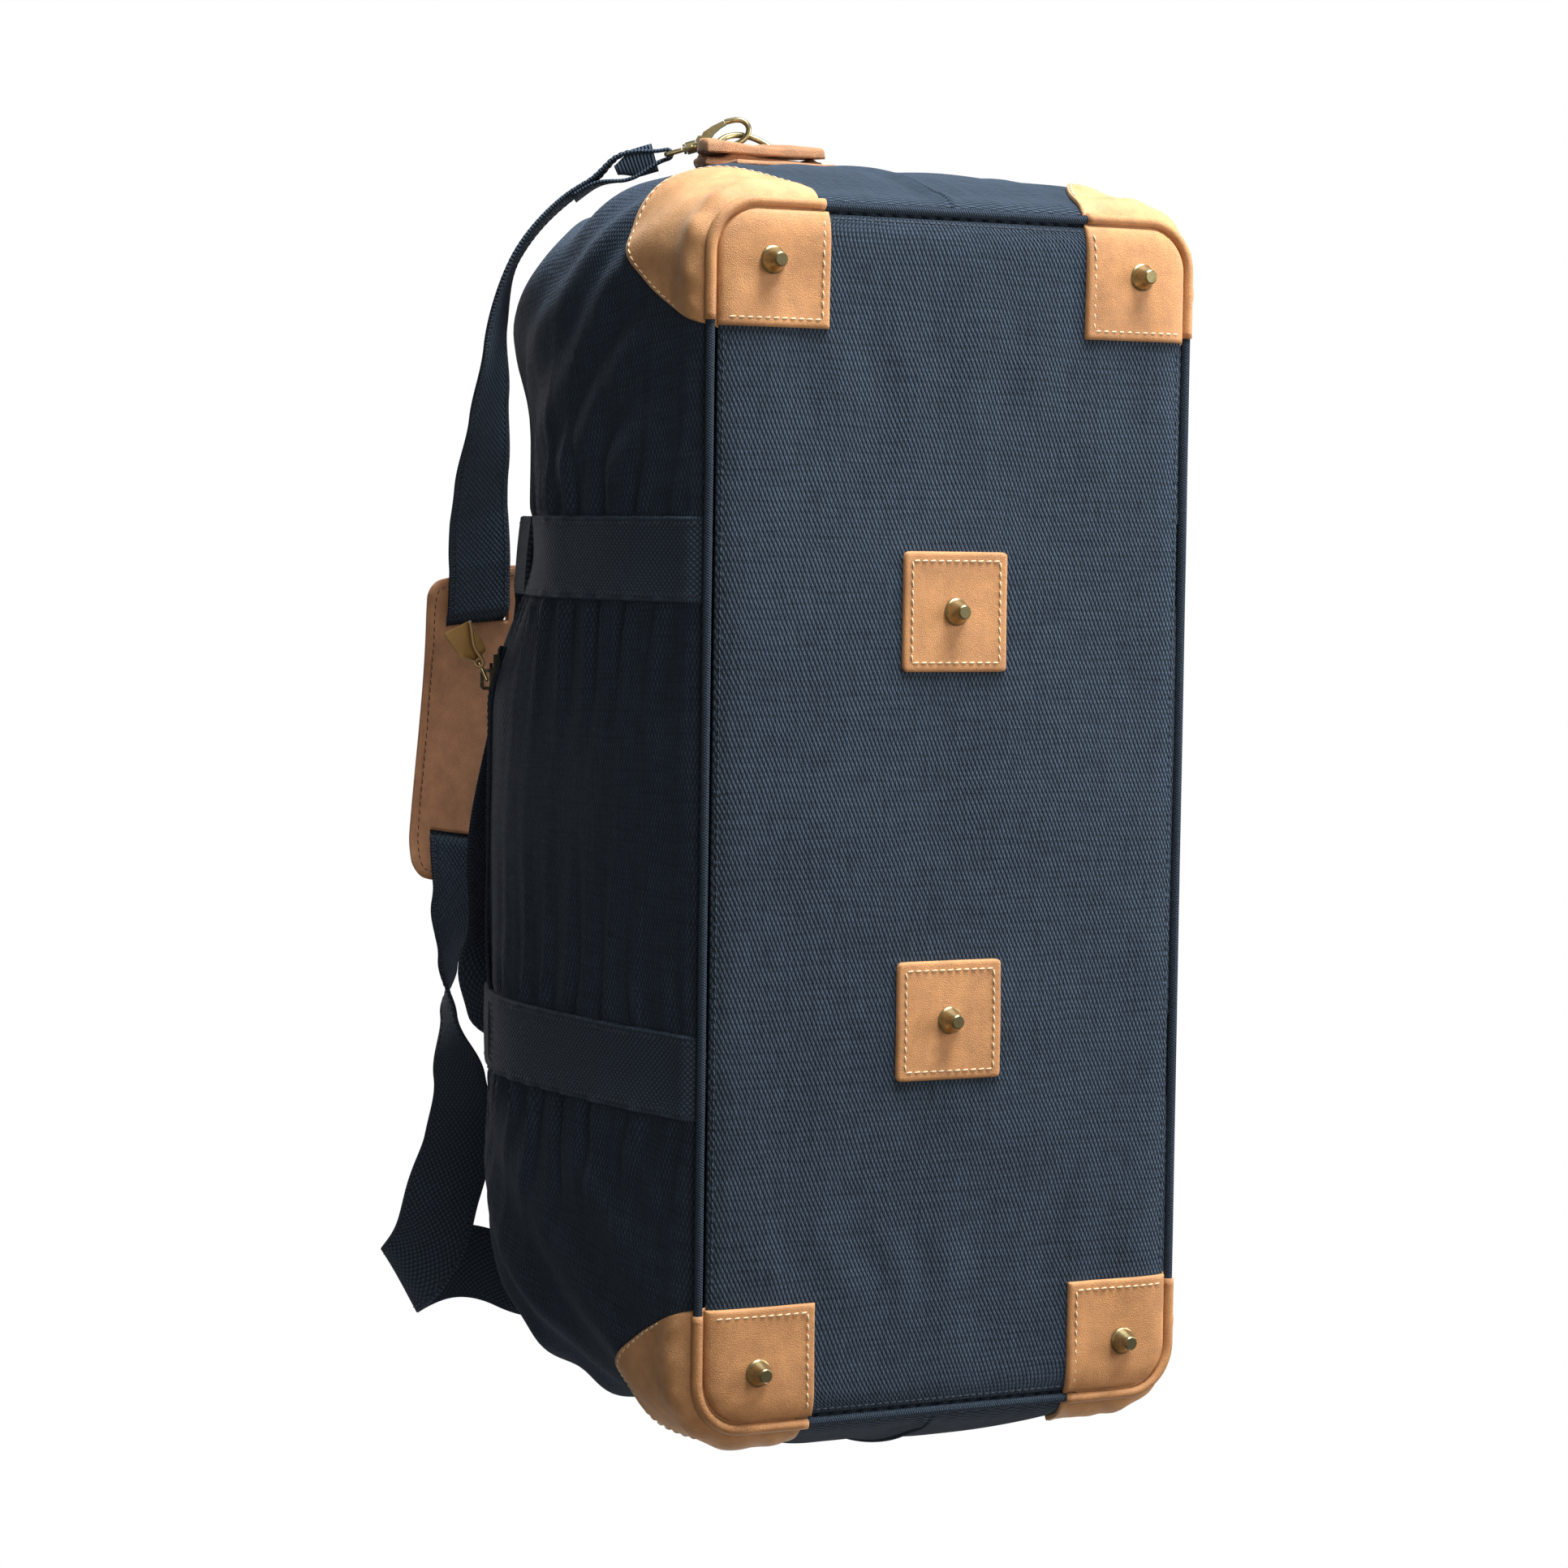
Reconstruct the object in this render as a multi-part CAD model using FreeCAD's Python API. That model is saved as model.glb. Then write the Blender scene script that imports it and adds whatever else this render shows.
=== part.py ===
"""Canvas weekender bag with leather corners, studded base, webbing handles and a clip-on shoulder strap.

Millimetres. +Z is up, +X is the right-hand end seen from the front, -Y is the front.
The origin is on the ground under the centre of the base, level with the tips of the feet.
"""

import FreeCAD
import Part
import math
import os

V = FreeCAD.Vector

# ---------------------------------------------------------------- driving dimensions
FOOT_TIP_R = 3.2
FOOT_BASE_R = 6.2
PATCH_T = 1.8                 # leather thickness on the base
BASE_Z = 10.0                 # underside of the canvas base
BODY_H = 285.0                # base to top face
CANVAS_T = 2.2                # canvas with its bonded padding

# height above the base, half length, half width, corner radius of the stuffed bag
SECTIONS = [
    (0.0, 270.0, 122.5, 38.0),
    (45.0, 286.0, 133.0, 55.0),
    (120.0, 295.0, 140.0, 70.0),
    (190.0, 293.0, 137.0, 80.0),
    (240.0, 283.0, 120.0, 85.0),
    (270.0, 266.0, 90.0, 75.0),
    (285.0, 240.0, 50.0, 46.0),
]

SEAM_Z = 15.2                 # lower edge of the side canvas, above the piping
PIPING_R = 2.6
BOARD_T = 3.0
LINING_GAP = 8.0
LINING_T = 0.8

CORNER_X = 216.0              # corner leather runs from here to the end
CORNER_Y = 66.0               # and from here to the side
WING_H = 68.0                 # top of the leather wrapped up each corner
FEET_X, FEET_Y = 245.0, 95.0
MID_FOOT_X = 92.0
MID_PATCH_HALF = 27.0

WEB_W = 38.0                  # webbing width
WEB_T = 2.6
BAND_X = 114.0                # centre of each webbing band
BAND_TOP_Z = 234.0

TOP_PANEL_HALF_Y = 50.0
ZIP_SLOT_HALF_Y = 8.5
ZIP_HALF_X = 226.0
END_TAB_X = 212.0             # end tabs cover the zip from here outward
END_TAB_HALF_Y = 18.0
SLIDER_L, SLIDER_W = 22.0, 13.0
SLIDER_REST_X = 12.5

POCKET_Z = 236.0              # centre line of the front pocket zip
POCKET_X0, POCKET_X1 = -92.0, 66.0
POCKET_SLIDER_X = 54.0
PULL_TILT = math.radians(10)  # main pulls lie almost flat
POCKET_PULL_TILT = math.radians(25)

RING_R = 18.5                 # D-ring centre-line radius
RING_WIRE_R = 1.5
RING_ARM = 3.0
RING_X, RING_Y, RING_Z = 306.0, 6.0, 226.0
RING_TILT = math.radians(40)  # rest angle of the ring above horizontal
RING_SEAT = math.radians(80)  # where on its arc the snap hook sits, from the side

HOOK_WIRE_R = 1.4
SNAP_PIN = (-15.8, 1.2)       # gate pivot in the snap's own axes
SNAP_COLLAR_X = -21.8
SNAP_EYE_X = -34.7
EYE_WIRE_R = 1.2
RUNNING = 0.06                # radial clearance of every pin in its hole

STRAP_T = 2.0
PAD_T = 3.2
PAD_W = 62.0
PAD_L = 161.0
PAD_X = 24.0
PAD_SLOT_X = 57.0             # half the distance between the strap slots
PAD_SLOT_L = 13.0
PAD_GAP = 0.35                # between strap and pad where they lie on each other
ADJUSTER_WIRE = 2.5
ADJUSTER_HALF = 11.0
ADJUSTER_BAR = 3.2
ADJUSTER_AT = 32.0            # distance of the adjuster from the -X snap's eye


# ---------------------------------------------------------------- small helpers
def box(x0, x1, y0, y1, z0, z1):
    return Part.makeBox(x1 - x0, y1 - y0, z1 - z0, V(x0, y0, z0))


def cylinder(radius, start, end):
    axis = end - start
    return Part.makeCylinder(radius, axis.Length, start, axis)


def mirror_x(shape):
    return shape.mirror(V(0, 0, 0), V(1, 0, 0))


def mirror_y(shape):
    return shape.mirror(V(0, 0, 0), V(0, 1, 0))


def group(shapes):
    return Part.makeCompound(shapes)


def fuse(first, *others):
    return first.multiFuse(list(others)).removeSplitter()


def placed(shape, origin, x_axis, y_axis):
    """Moves a shape made in local axes to origin, with its x and y along the given directions."""
    ex = V(x_axis).normalize()
    ez = ex.cross(V(y_axis)).normalize()
    ey = ez.cross(ex)
    matrix = FreeCAD.Matrix(
        ex.x, ey.x, ez.x, origin.x,
        ex.y, ey.y, ez.y, origin.y,
        ex.z, ey.z, ez.z, origin.z,
        0, 0, 0, 1,
    )
    return shape.transformed(matrix, True)


def prism(points, depth_axis, low, high):
    """A polygon given in the two other axes, extruded along X, Y or Z from low to high."""
    corner = {
        "X": lambda p: V(low, p[0], p[1]),
        "Y": lambda p: V(p[0], low, p[1]),
        "Z": lambda p: V(p[0], p[1], low),
    }[depth_axis]
    along = {"X": V(1, 0, 0), "Y": V(0, 1, 0), "Z": V(0, 0, 1)}[depth_axis]
    wire = Part.makePolygon([corner(p) for p in points + points[:1]])
    return Part.Face(wire).extrude(along * (high - low))


def tube_along(points, radius):
    """A round wire bent through the points."""
    curve = Part.BSplineCurve()
    curve.interpolate(points)
    path = Part.Wire([curve.toShape()])
    tangent = curve.tangent(curve.FirstParameter)[0]
    profile = Part.Wire([Part.makeCircle(radius, points[0], tangent)])
    return path.makePipeShell([profile], True, True)


# ---------------------------------------------------------------- the stuffed body
def rounded_rect(half_x, half_y, radius, z):
    """A closed wire with the corners as arcs."""
    edges = []
    cx, cy = half_x - radius, half_y - radius
    corners = [(cx, cy, 0), (-cx, cy, 90), (-cx, -cy, 180), (cx, -cy, 270)]

    def point(centre, degrees):
        a = math.radians(degrees)
        return V(centre[0] + radius * math.cos(a), centre[1] + radius * math.sin(a), z)

    for i, corner in enumerate(corners):
        start = corner[2]
        arc = Part.Arc(point(corner, start), point(corner, start + 45), point(corner, start + 90))
        edges.append(arc.toShape())
        following = corners[(i + 1) % 4]
        edges.append(Part.makeLine(point(corner, start + 90), point(following, following[2])))
    return Part.Wire(edges)


def body_solid(inset):
    """The whole bag as a solid whose surface lies inset inside the outer canvas face."""
    wires = []
    for height, half_x, half_y, radius in SECTIONS:
        z = BASE_Z + inset + height / BODY_H * (BODY_H - 2 * inset)
        wires.append(rounded_rect(half_x - inset, half_y - inset, radius - inset, z))
    return Part.makeLoft(wires, True, False)


def skin(outer_inset, inner_inset):
    return body_solid(outer_inset).cut(body_solid(inner_inset))


def base_plate(inset, z0, z1):
    face = Part.Face(rounded_rect(270.0 - inset, 122.5 - inset, 38.0 - inset, z0))
    return face.extrude(V(0, 0, z1 - z0))


def surface_y(z):
    """Outer face of the front at height z, on the centre line."""
    probe = Part.makeLine(V(0, -200, z), V(0, 0, z)).common(OUTER)
    return min(v.Y for v in probe.Vertexes)


def pocket_axes():
    """Centre, up-slope direction and outward normal of the front pocket zip."""
    centre = V(0, surface_y(POCKET_Z), POCKET_Z)
    upper = V(0, surface_y(POCKET_Z + 5), POCKET_Z + 5)
    lower = V(0, surface_y(POCKET_Z - 5), POCKET_Z - 5)
    up = (upper - lower).normalize()
    return centre, up, V(1, 0, 0).cross(up)


def in_pocket(shape, along=0.0):
    """Places a shape made with x along the zip, y up the slope and z outward."""
    centre, up, _ = POCKET_AXES
    return placed(shape, centre + V(along, 0, 0), V(1, 0, 0), up)


# ---------------------------------------------------------------- canvas pieces
def top_opening(margin):
    half_x, half_y = 238.0 + margin, TOP_PANEL_HALF_Y + margin
    return box(-half_x, half_x, -half_y, half_y, 270, 320)


def side_shell(sign):
    """Front (sign -1) or back canvas: one side wall with half of each end."""
    wall = skin(0, CANVAS_T)
    far = 0.2 * sign
    half = box(-400, 400, min(far, 400 * sign), max(far, 400 * sign), SEAM_Z, 400)
    shell = wall.common(half).cut(top_opening(0.4))
    if sign < 0:
        shell = shell.cut(in_pocket(box(POCKET_X0, POCKET_X1, -7, 7, -15, 15)))
    return shell


def top_panel(sign):
    inner, outer = sorted((ZIP_SLOT_HALF_Y * sign, TOP_PANEL_HALF_Y * sign))
    return skin(0, CANVAS_T).common(box(-238, 238, inner, outer, 275, 320))


def shank_holes(z0, z1, radius=2.2):
    return group([Part.makeCylinder(radius, z1 - z0, V(x, y, z0)) for x, y in FOOT_PLACES])


def bottom_panel():
    return base_plate(3.4, BASE_Z, BASE_Z + CANVAS_T).cut(shank_holes(0, 30))


def base_board():
    z0 = BASE_Z + CANVAS_T + 0.2
    return base_plate(7.0, z0, z0 + BOARD_T).cut(shank_holes(0, 30))


def lining():
    bag = skin(LINING_GAP, LINING_GAP + LINING_T)
    return bag.cut(box(-ZIP_HALF_X, ZIP_HALF_X, -20, 20, 270, 320))


def pocket_bag():
    """Flat bag hanging behind the front pocket zip, open at its top edge."""
    outside = skin(3.6, 7.2).common(box(-96, 72, -300, 0, 118, 221))
    inside = skin(4.4, 6.4).common(box(-95.2, 71.2, -300, 0, 118.8, 240))
    return outside.cut(inside)


def piping_loop():
    path = rounded_rect(269.5, 122.0, 37.5, 12.4)
    start = path.Edges[1].Vertexes[0].Point
    profile = Part.Wire([Part.makeCircle(PIPING_R, start, V(1, 0, 0))])
    return path.makePipeShell([profile], True, True)


def base_piping():
    """Canvas piping between the four leather corners."""
    loop = PIPING
    gap_x = group([box(-CORNER_X + 0.4, CORNER_X - 0.4, -200, 200, 0, 30)])
    gap_y = group([box(-400, 400, -CORNER_Y + 0.4, CORNER_Y - 0.4, 0, 30)])
    return group(loop.common(gap_x).Solids + loop.common(gap_y).Solids)


# ---------------------------------------------------------------- leather pieces
def corner_patch():
    """Square leather on the base, at the +X +Y corner."""
    plate = base_plate(3.4, BASE_Z - PATCH_T, BASE_Z - 0.05)
    square = plate.common(box(CORNER_X, 300, CORNER_Y, 200, 0, 30))
    return square.cut(shank_holes(0, 30))


def centre_patch():
    s = MID_PATCH_HALF
    square = box(MID_FOOT_X - s, MID_FOOT_X + s, -s, s, BASE_Z - PATCH_T, BASE_Z - 0.05)
    return square.cut(shank_holes(0, 30))


def wing_outline(edge, far):
    """A tab with one vertical edge and a rounded upper corner, in (across, z)."""
    r = 38.0
    points = [(edge, 5.0), (edge, WING_H - r)]
    for k in range(1, 9):
        a = math.radians(180 - 90 * k / 8)
        points.append((edge + r + r * math.cos(a), WING_H - r + r * math.sin(a)))
    return points + [(far, WING_H), (far, 5.0)]


def corner_wing():
    """Leather wrapped up the +X +Y corner, with its share of the base bead."""
    sheet = skin(-1.8, -0.15).common(box(0, 400, 0, 400, 12.4, 100))
    sheet = sheet.common(prism(wing_outline(CORNER_X, 330), "Y", 0, 200))
    sheet = sheet.common(prism(wing_outline(CORNER_Y, 180), "X", 0, 400))
    bead = PIPING.common(box(CORNER_X, 400, CORNER_Y, 200, 0, 30))
    return fuse(sheet, bead)


# ---------------------------------------------------------------- feet
def foot_stud(x, y):
    """Cone with a flat tip, a shank through the base and a clenched head."""
    top = BASE_Z - PATCH_T - 0.05
    profile = [
        V(0, 0, 0), V(FOOT_TIP_R - 0.5, 0, 0), V(FOOT_TIP_R, 0, 0.5), V(FOOT_TIP_R, 0, 1.6),
        V(FOOT_BASE_R - 0.6, 0, top - 1.2), V(FOOT_BASE_R, 0, top - 0.7), V(FOOT_BASE_R, 0, top),
        V(2.0, 0, top), V(2.0, 0, 16.6), V(3.0, 0, 16.6), V(3.0, 0, 17.3), V(0, 0, 17.3),
    ]
    face = Part.Face(Part.makePolygon(profile + profile[:1]))
    cone = face.revolve(V(0, 0, 0), V(0, 0, 1), 360)
    cone.translate(V(x, y, 0))
    return cone


def foot_washer(x, y):
    z = BASE_Z + CANVAS_T + BOARD_T + 0.3
    disc = Part.makeCylinder(6.0, 1.0, V(x, y, z))
    return disc.cut(Part.makeCylinder(2.1, 5, V(x, y, z - 2)))


# ---------------------------------------------------------------- webbing
def band():
    """Webbing sewn up the +X side of the back wall."""
    strip = skin(-WEB_T - 0.2, -0.2)
    x0, x1 = BAND_X - WEB_W / 2, BAND_X + WEB_W / 2
    return strip.common(box(x0, x1, 50, 200, SEAM_Z, BAND_TOP_Z))


def ribbon(stations, width, thickness):
    """A flat strip through stations of (centre, width direction, travel direction)."""
    wires = []
    for centre, across, travel in stations:
        w = V(across).normalize()
        n = V(travel).normalize().cross(w).normalize()
        a, b = w * (width / 2), n * (thickness / 2)
        corners = [centre - a - b, centre + a - b, centre + a + b, centre - a + b]
        wires.append(Part.makePolygon(corners + corners[:1]))
    return Part.makeLoft(wires, True, True)


def smooth_stations(knots, steps):
    """Interpolates (centre, width direction) knots with a curve and gives even stations."""
    centre_line = Part.BSplineCurve()
    centre_line.interpolate([k[0] for k in knots])
    params = [centre_line.parameter(k[0]) for k in knots]
    first, last = centre_line.FirstParameter, centre_line.LastParameter
    stations = []
    for i in range(steps + 1):
        t = first + (last - first) * i / steps
        k = max(j for j in range(len(params)) if params[j] <= t + 1e-9)
        k = min(k, len(params) - 2)
        f = (t - params[k]) / (params[k + 1] - params[k])
        f = f * f * (3 - 2 * f)
        travel = centre_line.tangent(t)[0]
        across = knots[k][1] * (1 - f) + knots[k + 1][1] * f
        across = across - travel * across.dot(travel)
        stations.append((centre_line.value(t), across.normalize(), travel))
    return stations


def handle_knots():
    """Knots of the back handle: flat on the wall at the bands, turned to lie in the hand at the top."""
    foot_z = BAND_TOP_Z + 3.2
    foot_y = -surface_y(foot_z) + 3.1
    return [
        (V(BAND_X, foot_y, foot_z), V(1, 0, 0)),
        (V(BAND_X, -surface_y(foot_z + 10) + 5.4, foot_z + 10), V(1, 0, 0)),
        (V(BAND_X - 4, foot_y - 9, foot_z + 28), V(1, 0.2, 0)),
        (V(BAND_X - 16, foot_y - 22, foot_z + 50), V(0.75, 0.6, -0.3)),
        (V(BAND_X - 42, foot_y - 38, foot_z + 70), V(0.25, 0.95, -0.35)),
        (V(BAND_X - 80, foot_y - 48, foot_z + 77), V(0.05, 0.95, -0.3)),
        (V(0, foot_y - 50, foot_z + 79), V(0, 0.95, -0.3)),
    ]


def handle():
    side = handle_knots()
    mirrored = [(V(-p.x, p.y, p.z), V(-w.x, w.y, w.z)) for p, w in side]
    return ribbon(smooth_stations(side[:-1] + mirrored[::-1], 60), WEB_W, WEB_T)


# ---------------------------------------------------------------- zips
def comb(x0, x1, pitch, depth, low, high, side):
    """A row of zip teeth joined by a cord, along X, with its teeth towards y = 0."""
    points = [(x0, depth)]
    x = x0
    while x + pitch <= x1 + 1e-6:
        points += [(x, 2.1), (x + 0.2 * pitch, 0.6), (x + 0.6 * pitch, 0.6), (x + 0.7 * pitch, 2.1)]
        x += pitch
    points += [(x, 2.1), (x, depth)]
    if side < 0:
        points = [(px, -py) for px, py in points]
    return prism(points, "Z", low, high)


def main_tape(sign):
    inner, outer = sorted((3.9 * sign, 23.0 * sign))
    return box(-ZIP_HALF_X, ZIP_HALF_X, inner, outer, 291.2, 292.2)


def pocket_tape(sign):
    inner, outer = sorted((3.4 * sign, 10.5 * sign))
    return in_pocket(box(POCKET_X0 - 3, POCKET_X1 + 3, inner, outer, -4.6, -3.8))


def slider(width, length, low, high):
    """Two plates joined by a thin web that runs between the teeth, with a bridge on top."""
    def plate(z0, z1):
        slab = box(-length / 2, length / 2, -width / 2, width / 2, z0, z1)
        upright = [e for e in slab.Edges if abs(e.Vertexes[0].Z - e.Vertexes[1].Z) > 0.1]
        return slab.makeFillet(width * 0.3, upright)

    top = plate(high, high + 1.6)
    bottom = plate(low - 1.6, low)
    web = box(-length / 2 + 3, length / 2 - 3, -0.35, 0.35, low - 0.5, high + 0.5)
    z = high + 1.0
    bridge = prism([(-5, z), (-5, z + 3.6), (-3.6, z + 5), (3.6, z + 5), (5, z + 3.6), (5, z)], "Y", -1.6, 1.6)
    eye = prism([(-3.4, z + 0.6), (-3.4, z + 3.2), (3.4, z + 3.2), (3.4, z + 0.6)], "Y", -3, 3)
    return fuse(top, bottom, web, bridge.cut(eye))


def pull_ring(length, width):
    """Wire loop hung on the slider's bridge: its near bar is on the Y axis and it lies towards +X."""
    r = 0.9
    corners = [V(0, -width / 2, 0), V(0, width / 2, 0), V(length, width / 2, 0), V(length, -width / 2, 0)]
    bars = [cylinder(r, corners[i], corners[(i + 1) % 4]) for i in range(4)]
    knuckles = [Part.makeSphere(r, c) for c in corners]
    return fuse(*(bars + knuckles))


def leather_pull(start, length, width):
    """Leather strip folded round the ring's far bar, with both tails sewn together."""
    loop = cylinder(2.6, V(start, -width / 2, 0), V(start, width / 2, 0))
    tails = box(start + 1, start + length, -width / 2, width / 2, -1.6, 1.6)
    hole = cylinder(0.9 + RUNNING, V(start, -width, 0), V(start, width, 0))
    relief = box(start - 4, start + 1.0, -width, width, -0.95, 0.95)
    return fuse(loop, tails).cut(hole).cut(relief)


def main_pull(shape, end):
    """Places a pull on a main slider: end 1 lies towards +X, end -1 towards -X."""
    along = V(end * math.cos(PULL_TILT), 0, math.sin(PULL_TILT))
    return placed(shape, V(end * SLIDER_REST_X, 0, MAIN_PULL_Z), along, V(0, end, 0))


def pocket_pull(shape):
    centre, up, out = POCKET_AXES
    along = V(1, 0, 0) * math.cos(POCKET_PULL_TILT) + out * math.sin(POCKET_PULL_TILT)
    return placed(shape, centre + V(POCKET_SLIDER_X, 0, 0) + out * POCKET_PULL_H, along, up)


# ---------------------------------------------------------------- strap hardware
def d_ring():
    """Straight bar on the Y axis and an arc towards +X."""
    ends = [V(0, s * RING_R, 0) for s in (-1, 1)]
    bar = cylinder(RING_WIRE_R, ends[0], ends[1])
    arms = [cylinder(RING_WIRE_R, e, e + V(RING_ARM, 0, 0)) for e in ends]
    knees = [Part.makeSphere(RING_WIRE_R, e) for e in ends]
    circle = Part.makeCircle(RING_WIRE_R, V(RING_ARM, -RING_R, 0), V(1, 0, 0))
    arc = Part.Face(Part.Wire([circle])).revolve(V(RING_ARM, 0, 0), V(0, 0, 1), 180)
    return fuse(bar, *(arms + knees + [arc]))


def ring_direction():
    return V(math.cos(RING_TILT), 0, math.sin(RING_TILT))


def placed_ring():
    return placed(d_ring(), V(RING_X, RING_Y, RING_Z), ring_direction(), V(0, 1, 0))


def ring_seat():
    """Centre of the ring wire where the +X snap hook sits, and the wire's direction there."""
    along, side = ring_direction(), V(0, 1, 0)
    reach = RING_ARM + RING_R * math.sin(RING_SEAT)
    point = V(RING_X, RING_Y, RING_Z) + along * reach - side * (RING_R * math.cos(RING_SEAT))
    return point, along * math.cos(RING_SEAT) + side * math.sin(RING_SEAT)


def ring_anchor():
    """Leather at the +X end: a sewn ply, a fold that holds the ring and a hanging tail."""
    y0, y1 = RING_Y - 26, RING_Y + 26
    base = skin(-2.4, -0.2).common(box(250, 400, y0, y1, 176, 214))
    fold = cylinder(4.6, V(RING_X, RING_Y - 15.5, RING_Z), V(RING_X, RING_Y + 15.5, RING_Z))
    neck = box(RING_X - 4.6, RING_X, RING_Y - 15.5, RING_Y + 15.5, 204, RING_Z)
    tail = box(RING_X - 3.4, RING_X + 2.2, y0, y1 + 3, 190, 213)
    bridge = box(RING_X - 20, RING_X - 1, y0 + 4, y1 - 4, 194, 208).cut(body_solid(-0.4))
    hole = cylinder(RING_WIRE_R + RUNNING, V(RING_X, -40, RING_Z), V(RING_X, 60, RING_Z))
    relief_dir = ring_direction()
    relief = placed(box(0, 12, -60, 60, -RING_WIRE_R * 0.6, RING_WIRE_R * 0.6), V(RING_X, 0, RING_Z),
                    relief_dir, V(0, 1, 0))
    return fuse(base, fold, neck, tail, bridge).cut(hole).cut(relief)


def end_tab():
    """Webbing over the +X end of the zip, down to the ring's leather."""
    strip = skin(-1.9, -0.2)
    return strip.common(box(END_TAB_X, 400, -END_TAB_HALF_Y, END_TAB_HALF_Y, 216, 320))


def snap_hook():
    """Hook, cheeks and swivel post: x runs from eye to tip, the gate is on the +y side, the ring is at the origin."""
    bends = [(-10.5, -3.2), (-4.5, -4.3), (1.2, -4.2), (5.8, -2.2),
             (7.9, 1.8), (6.2, 5.6), (2.2, 7.2), (-3.8, 7.3)]
    arm = tube_along([V(x, y, 0) for x, y in bends], HOOK_WIRE_R)
    nose_gap = prism([(-2.0, 5.0), (-3.4, 10), (-9, 10), (-9, 5.0)], "Z", -4, 4)
    arm = arm.cut(nose_gap)
    outline = [(-19, -2.6), (-19, 2.4), (-17.2, 4.2), (-13.6, 3.4), (-11.6, 0.4), (-10.4, -1.7),
               (-8.4, -2.2), (-8.4, -4.5), (-14.6, -4.2), (-18, -3.6)]
    cheeks = prism(outline, "Z", -2.7, 2.7)
    gate_room = prism([(-18.1, -1.0), (-18.1, 9), (-5, 9), (-5, -1.0)], "Z", -1.5, 1.5)
    post = cylinder(1.5, V(-26, 0, 0), V(-18.5, 0, 0))
    head = cylinder(2.5, V(-26, 0, 0), V(-24.6, 0, 0))
    pivot = cylinder(1.0 + RUNNING, V(SNAP_PIN[0], SNAP_PIN[1], -9), V(SNAP_PIN[0], SNAP_PIN[1], 9))
    return fuse(cheeks, arm, post, head).cut(gate_room).cut(pivot)


def snap_gate():
    px, py = SNAP_PIN
    lever = prism([(-16.4, 2.9), (-14.3, 5.4), (-9.3, 7.1), (-3.3, 8.2), (-2.35, 5.9), (-5, 5.3),
                   (-9, 3.4), (-12.8, 0.2), (-15.5, -0.4)], "Z", -1.35, 1.35)
    knuckle = cylinder(1.9, V(px, py, -1.35), V(px, py, 1.35))
    return fuse(lever, knuckle).cut(cylinder(1.0 + RUNNING, V(px, py, -9), V(px, py, 9)))


def snap_pin():
    px, py = SNAP_PIN
    shank = cylinder(1.0, V(px, py, -3.4), V(px, py, 3.4))
    heads = [cylinder(1.8, V(px, py, s * 2.8), V(px, py, s * 3.4)) for s in (-1, 1)]
    return fuse(shank, *heads)


def snap_eye(side):
    """Swivel collar and the loop that holds the webbing; side is the direction of its far bar."""
    half = WEB_W / 2 + 1.6
    far = V(SNAP_EYE_X, 0, 0)
    knee = V(-27.5, 0, 0)
    collar = cylinder(3.1, V(-24.4, 0, 0), V(-19.3, 0, 0))
    pieces = [collar, cylinder(EYE_WIRE_R, far - side * half, far + side * half)]
    for s in (-1, 1):
        shoulder = V(SNAP_COLLAR_X, 0, 0) + side * (s * 2.6)
        bend = knee + side * (s * half)
        corner = far + side * (s * half)
        pieces += [cylinder(EYE_WIRE_R, shoulder, bend), cylinder(EYE_WIRE_R, bend, corner)]
        pieces += [Part.makeSphere(EYE_WIRE_R, bend), Part.makeSphere(EYE_WIRE_R, corner)]
    bore = cylinder(1.5 + RUNNING, V(-30, 0, 0), V(-18, 0, 0))
    head_room = cylinder(2.7, V(-30, 0, 0), V(-24.4, 0, 0))
    return fuse(*pieces).cut(bore).cut(head_room)


def snap_frame(end):
    """Origin, long axis and gate-side axis of the snap on the +X (end 1) or -X (end -1) ring."""
    seat, wire = ring_seat()
    if end > 0:
        axis = V(0.283, 0.854, -0.431).normalize()
        return seat, axis, V(0.954, -0.225, 0.181)
    seat, wire = V(-seat.x, seat.y, seat.z), V(-wire.x, wire.y, wire.z)
    axis = V(-0.50, 0.51, -0.70).normalize()
    face = (wire - axis * wire.dot(axis)).normalize()
    out = face.cross(axis)
    return seat, axis, out if out.x < 0 else out * -1


def in_snap(shape, end):
    return placed(shape, *snap_frame(end))


def eye_side(end):
    """Direction of the eye's far bar in the snap's own axes, square to its long axis."""
    _, axis, gate_side = snap_frame(end)
    ex = V(axis).normalize()
    ez = ex.cross(gate_side).normalize()
    ey = ez.cross(ex)
    world = {1: V(0.10, 0.46, 0.88), -1: V(0.34, -0.62, -0.70)}[end]
    return V(0, world.dot(ey), world.dot(ez)).normalize()


def eye_bar(end):
    """World centre and direction of the bar the webbing folds round."""
    origin, axis, gate_side = snap_frame(end)
    ex = V(axis).normalize()
    ez = ex.cross(gate_side).normalize()
    ey = ez.cross(ex)
    side = eye_side(end)
    return origin + ex * SNAP_EYE_X, ey * side.y + ez * side.z, ex * -1


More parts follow.
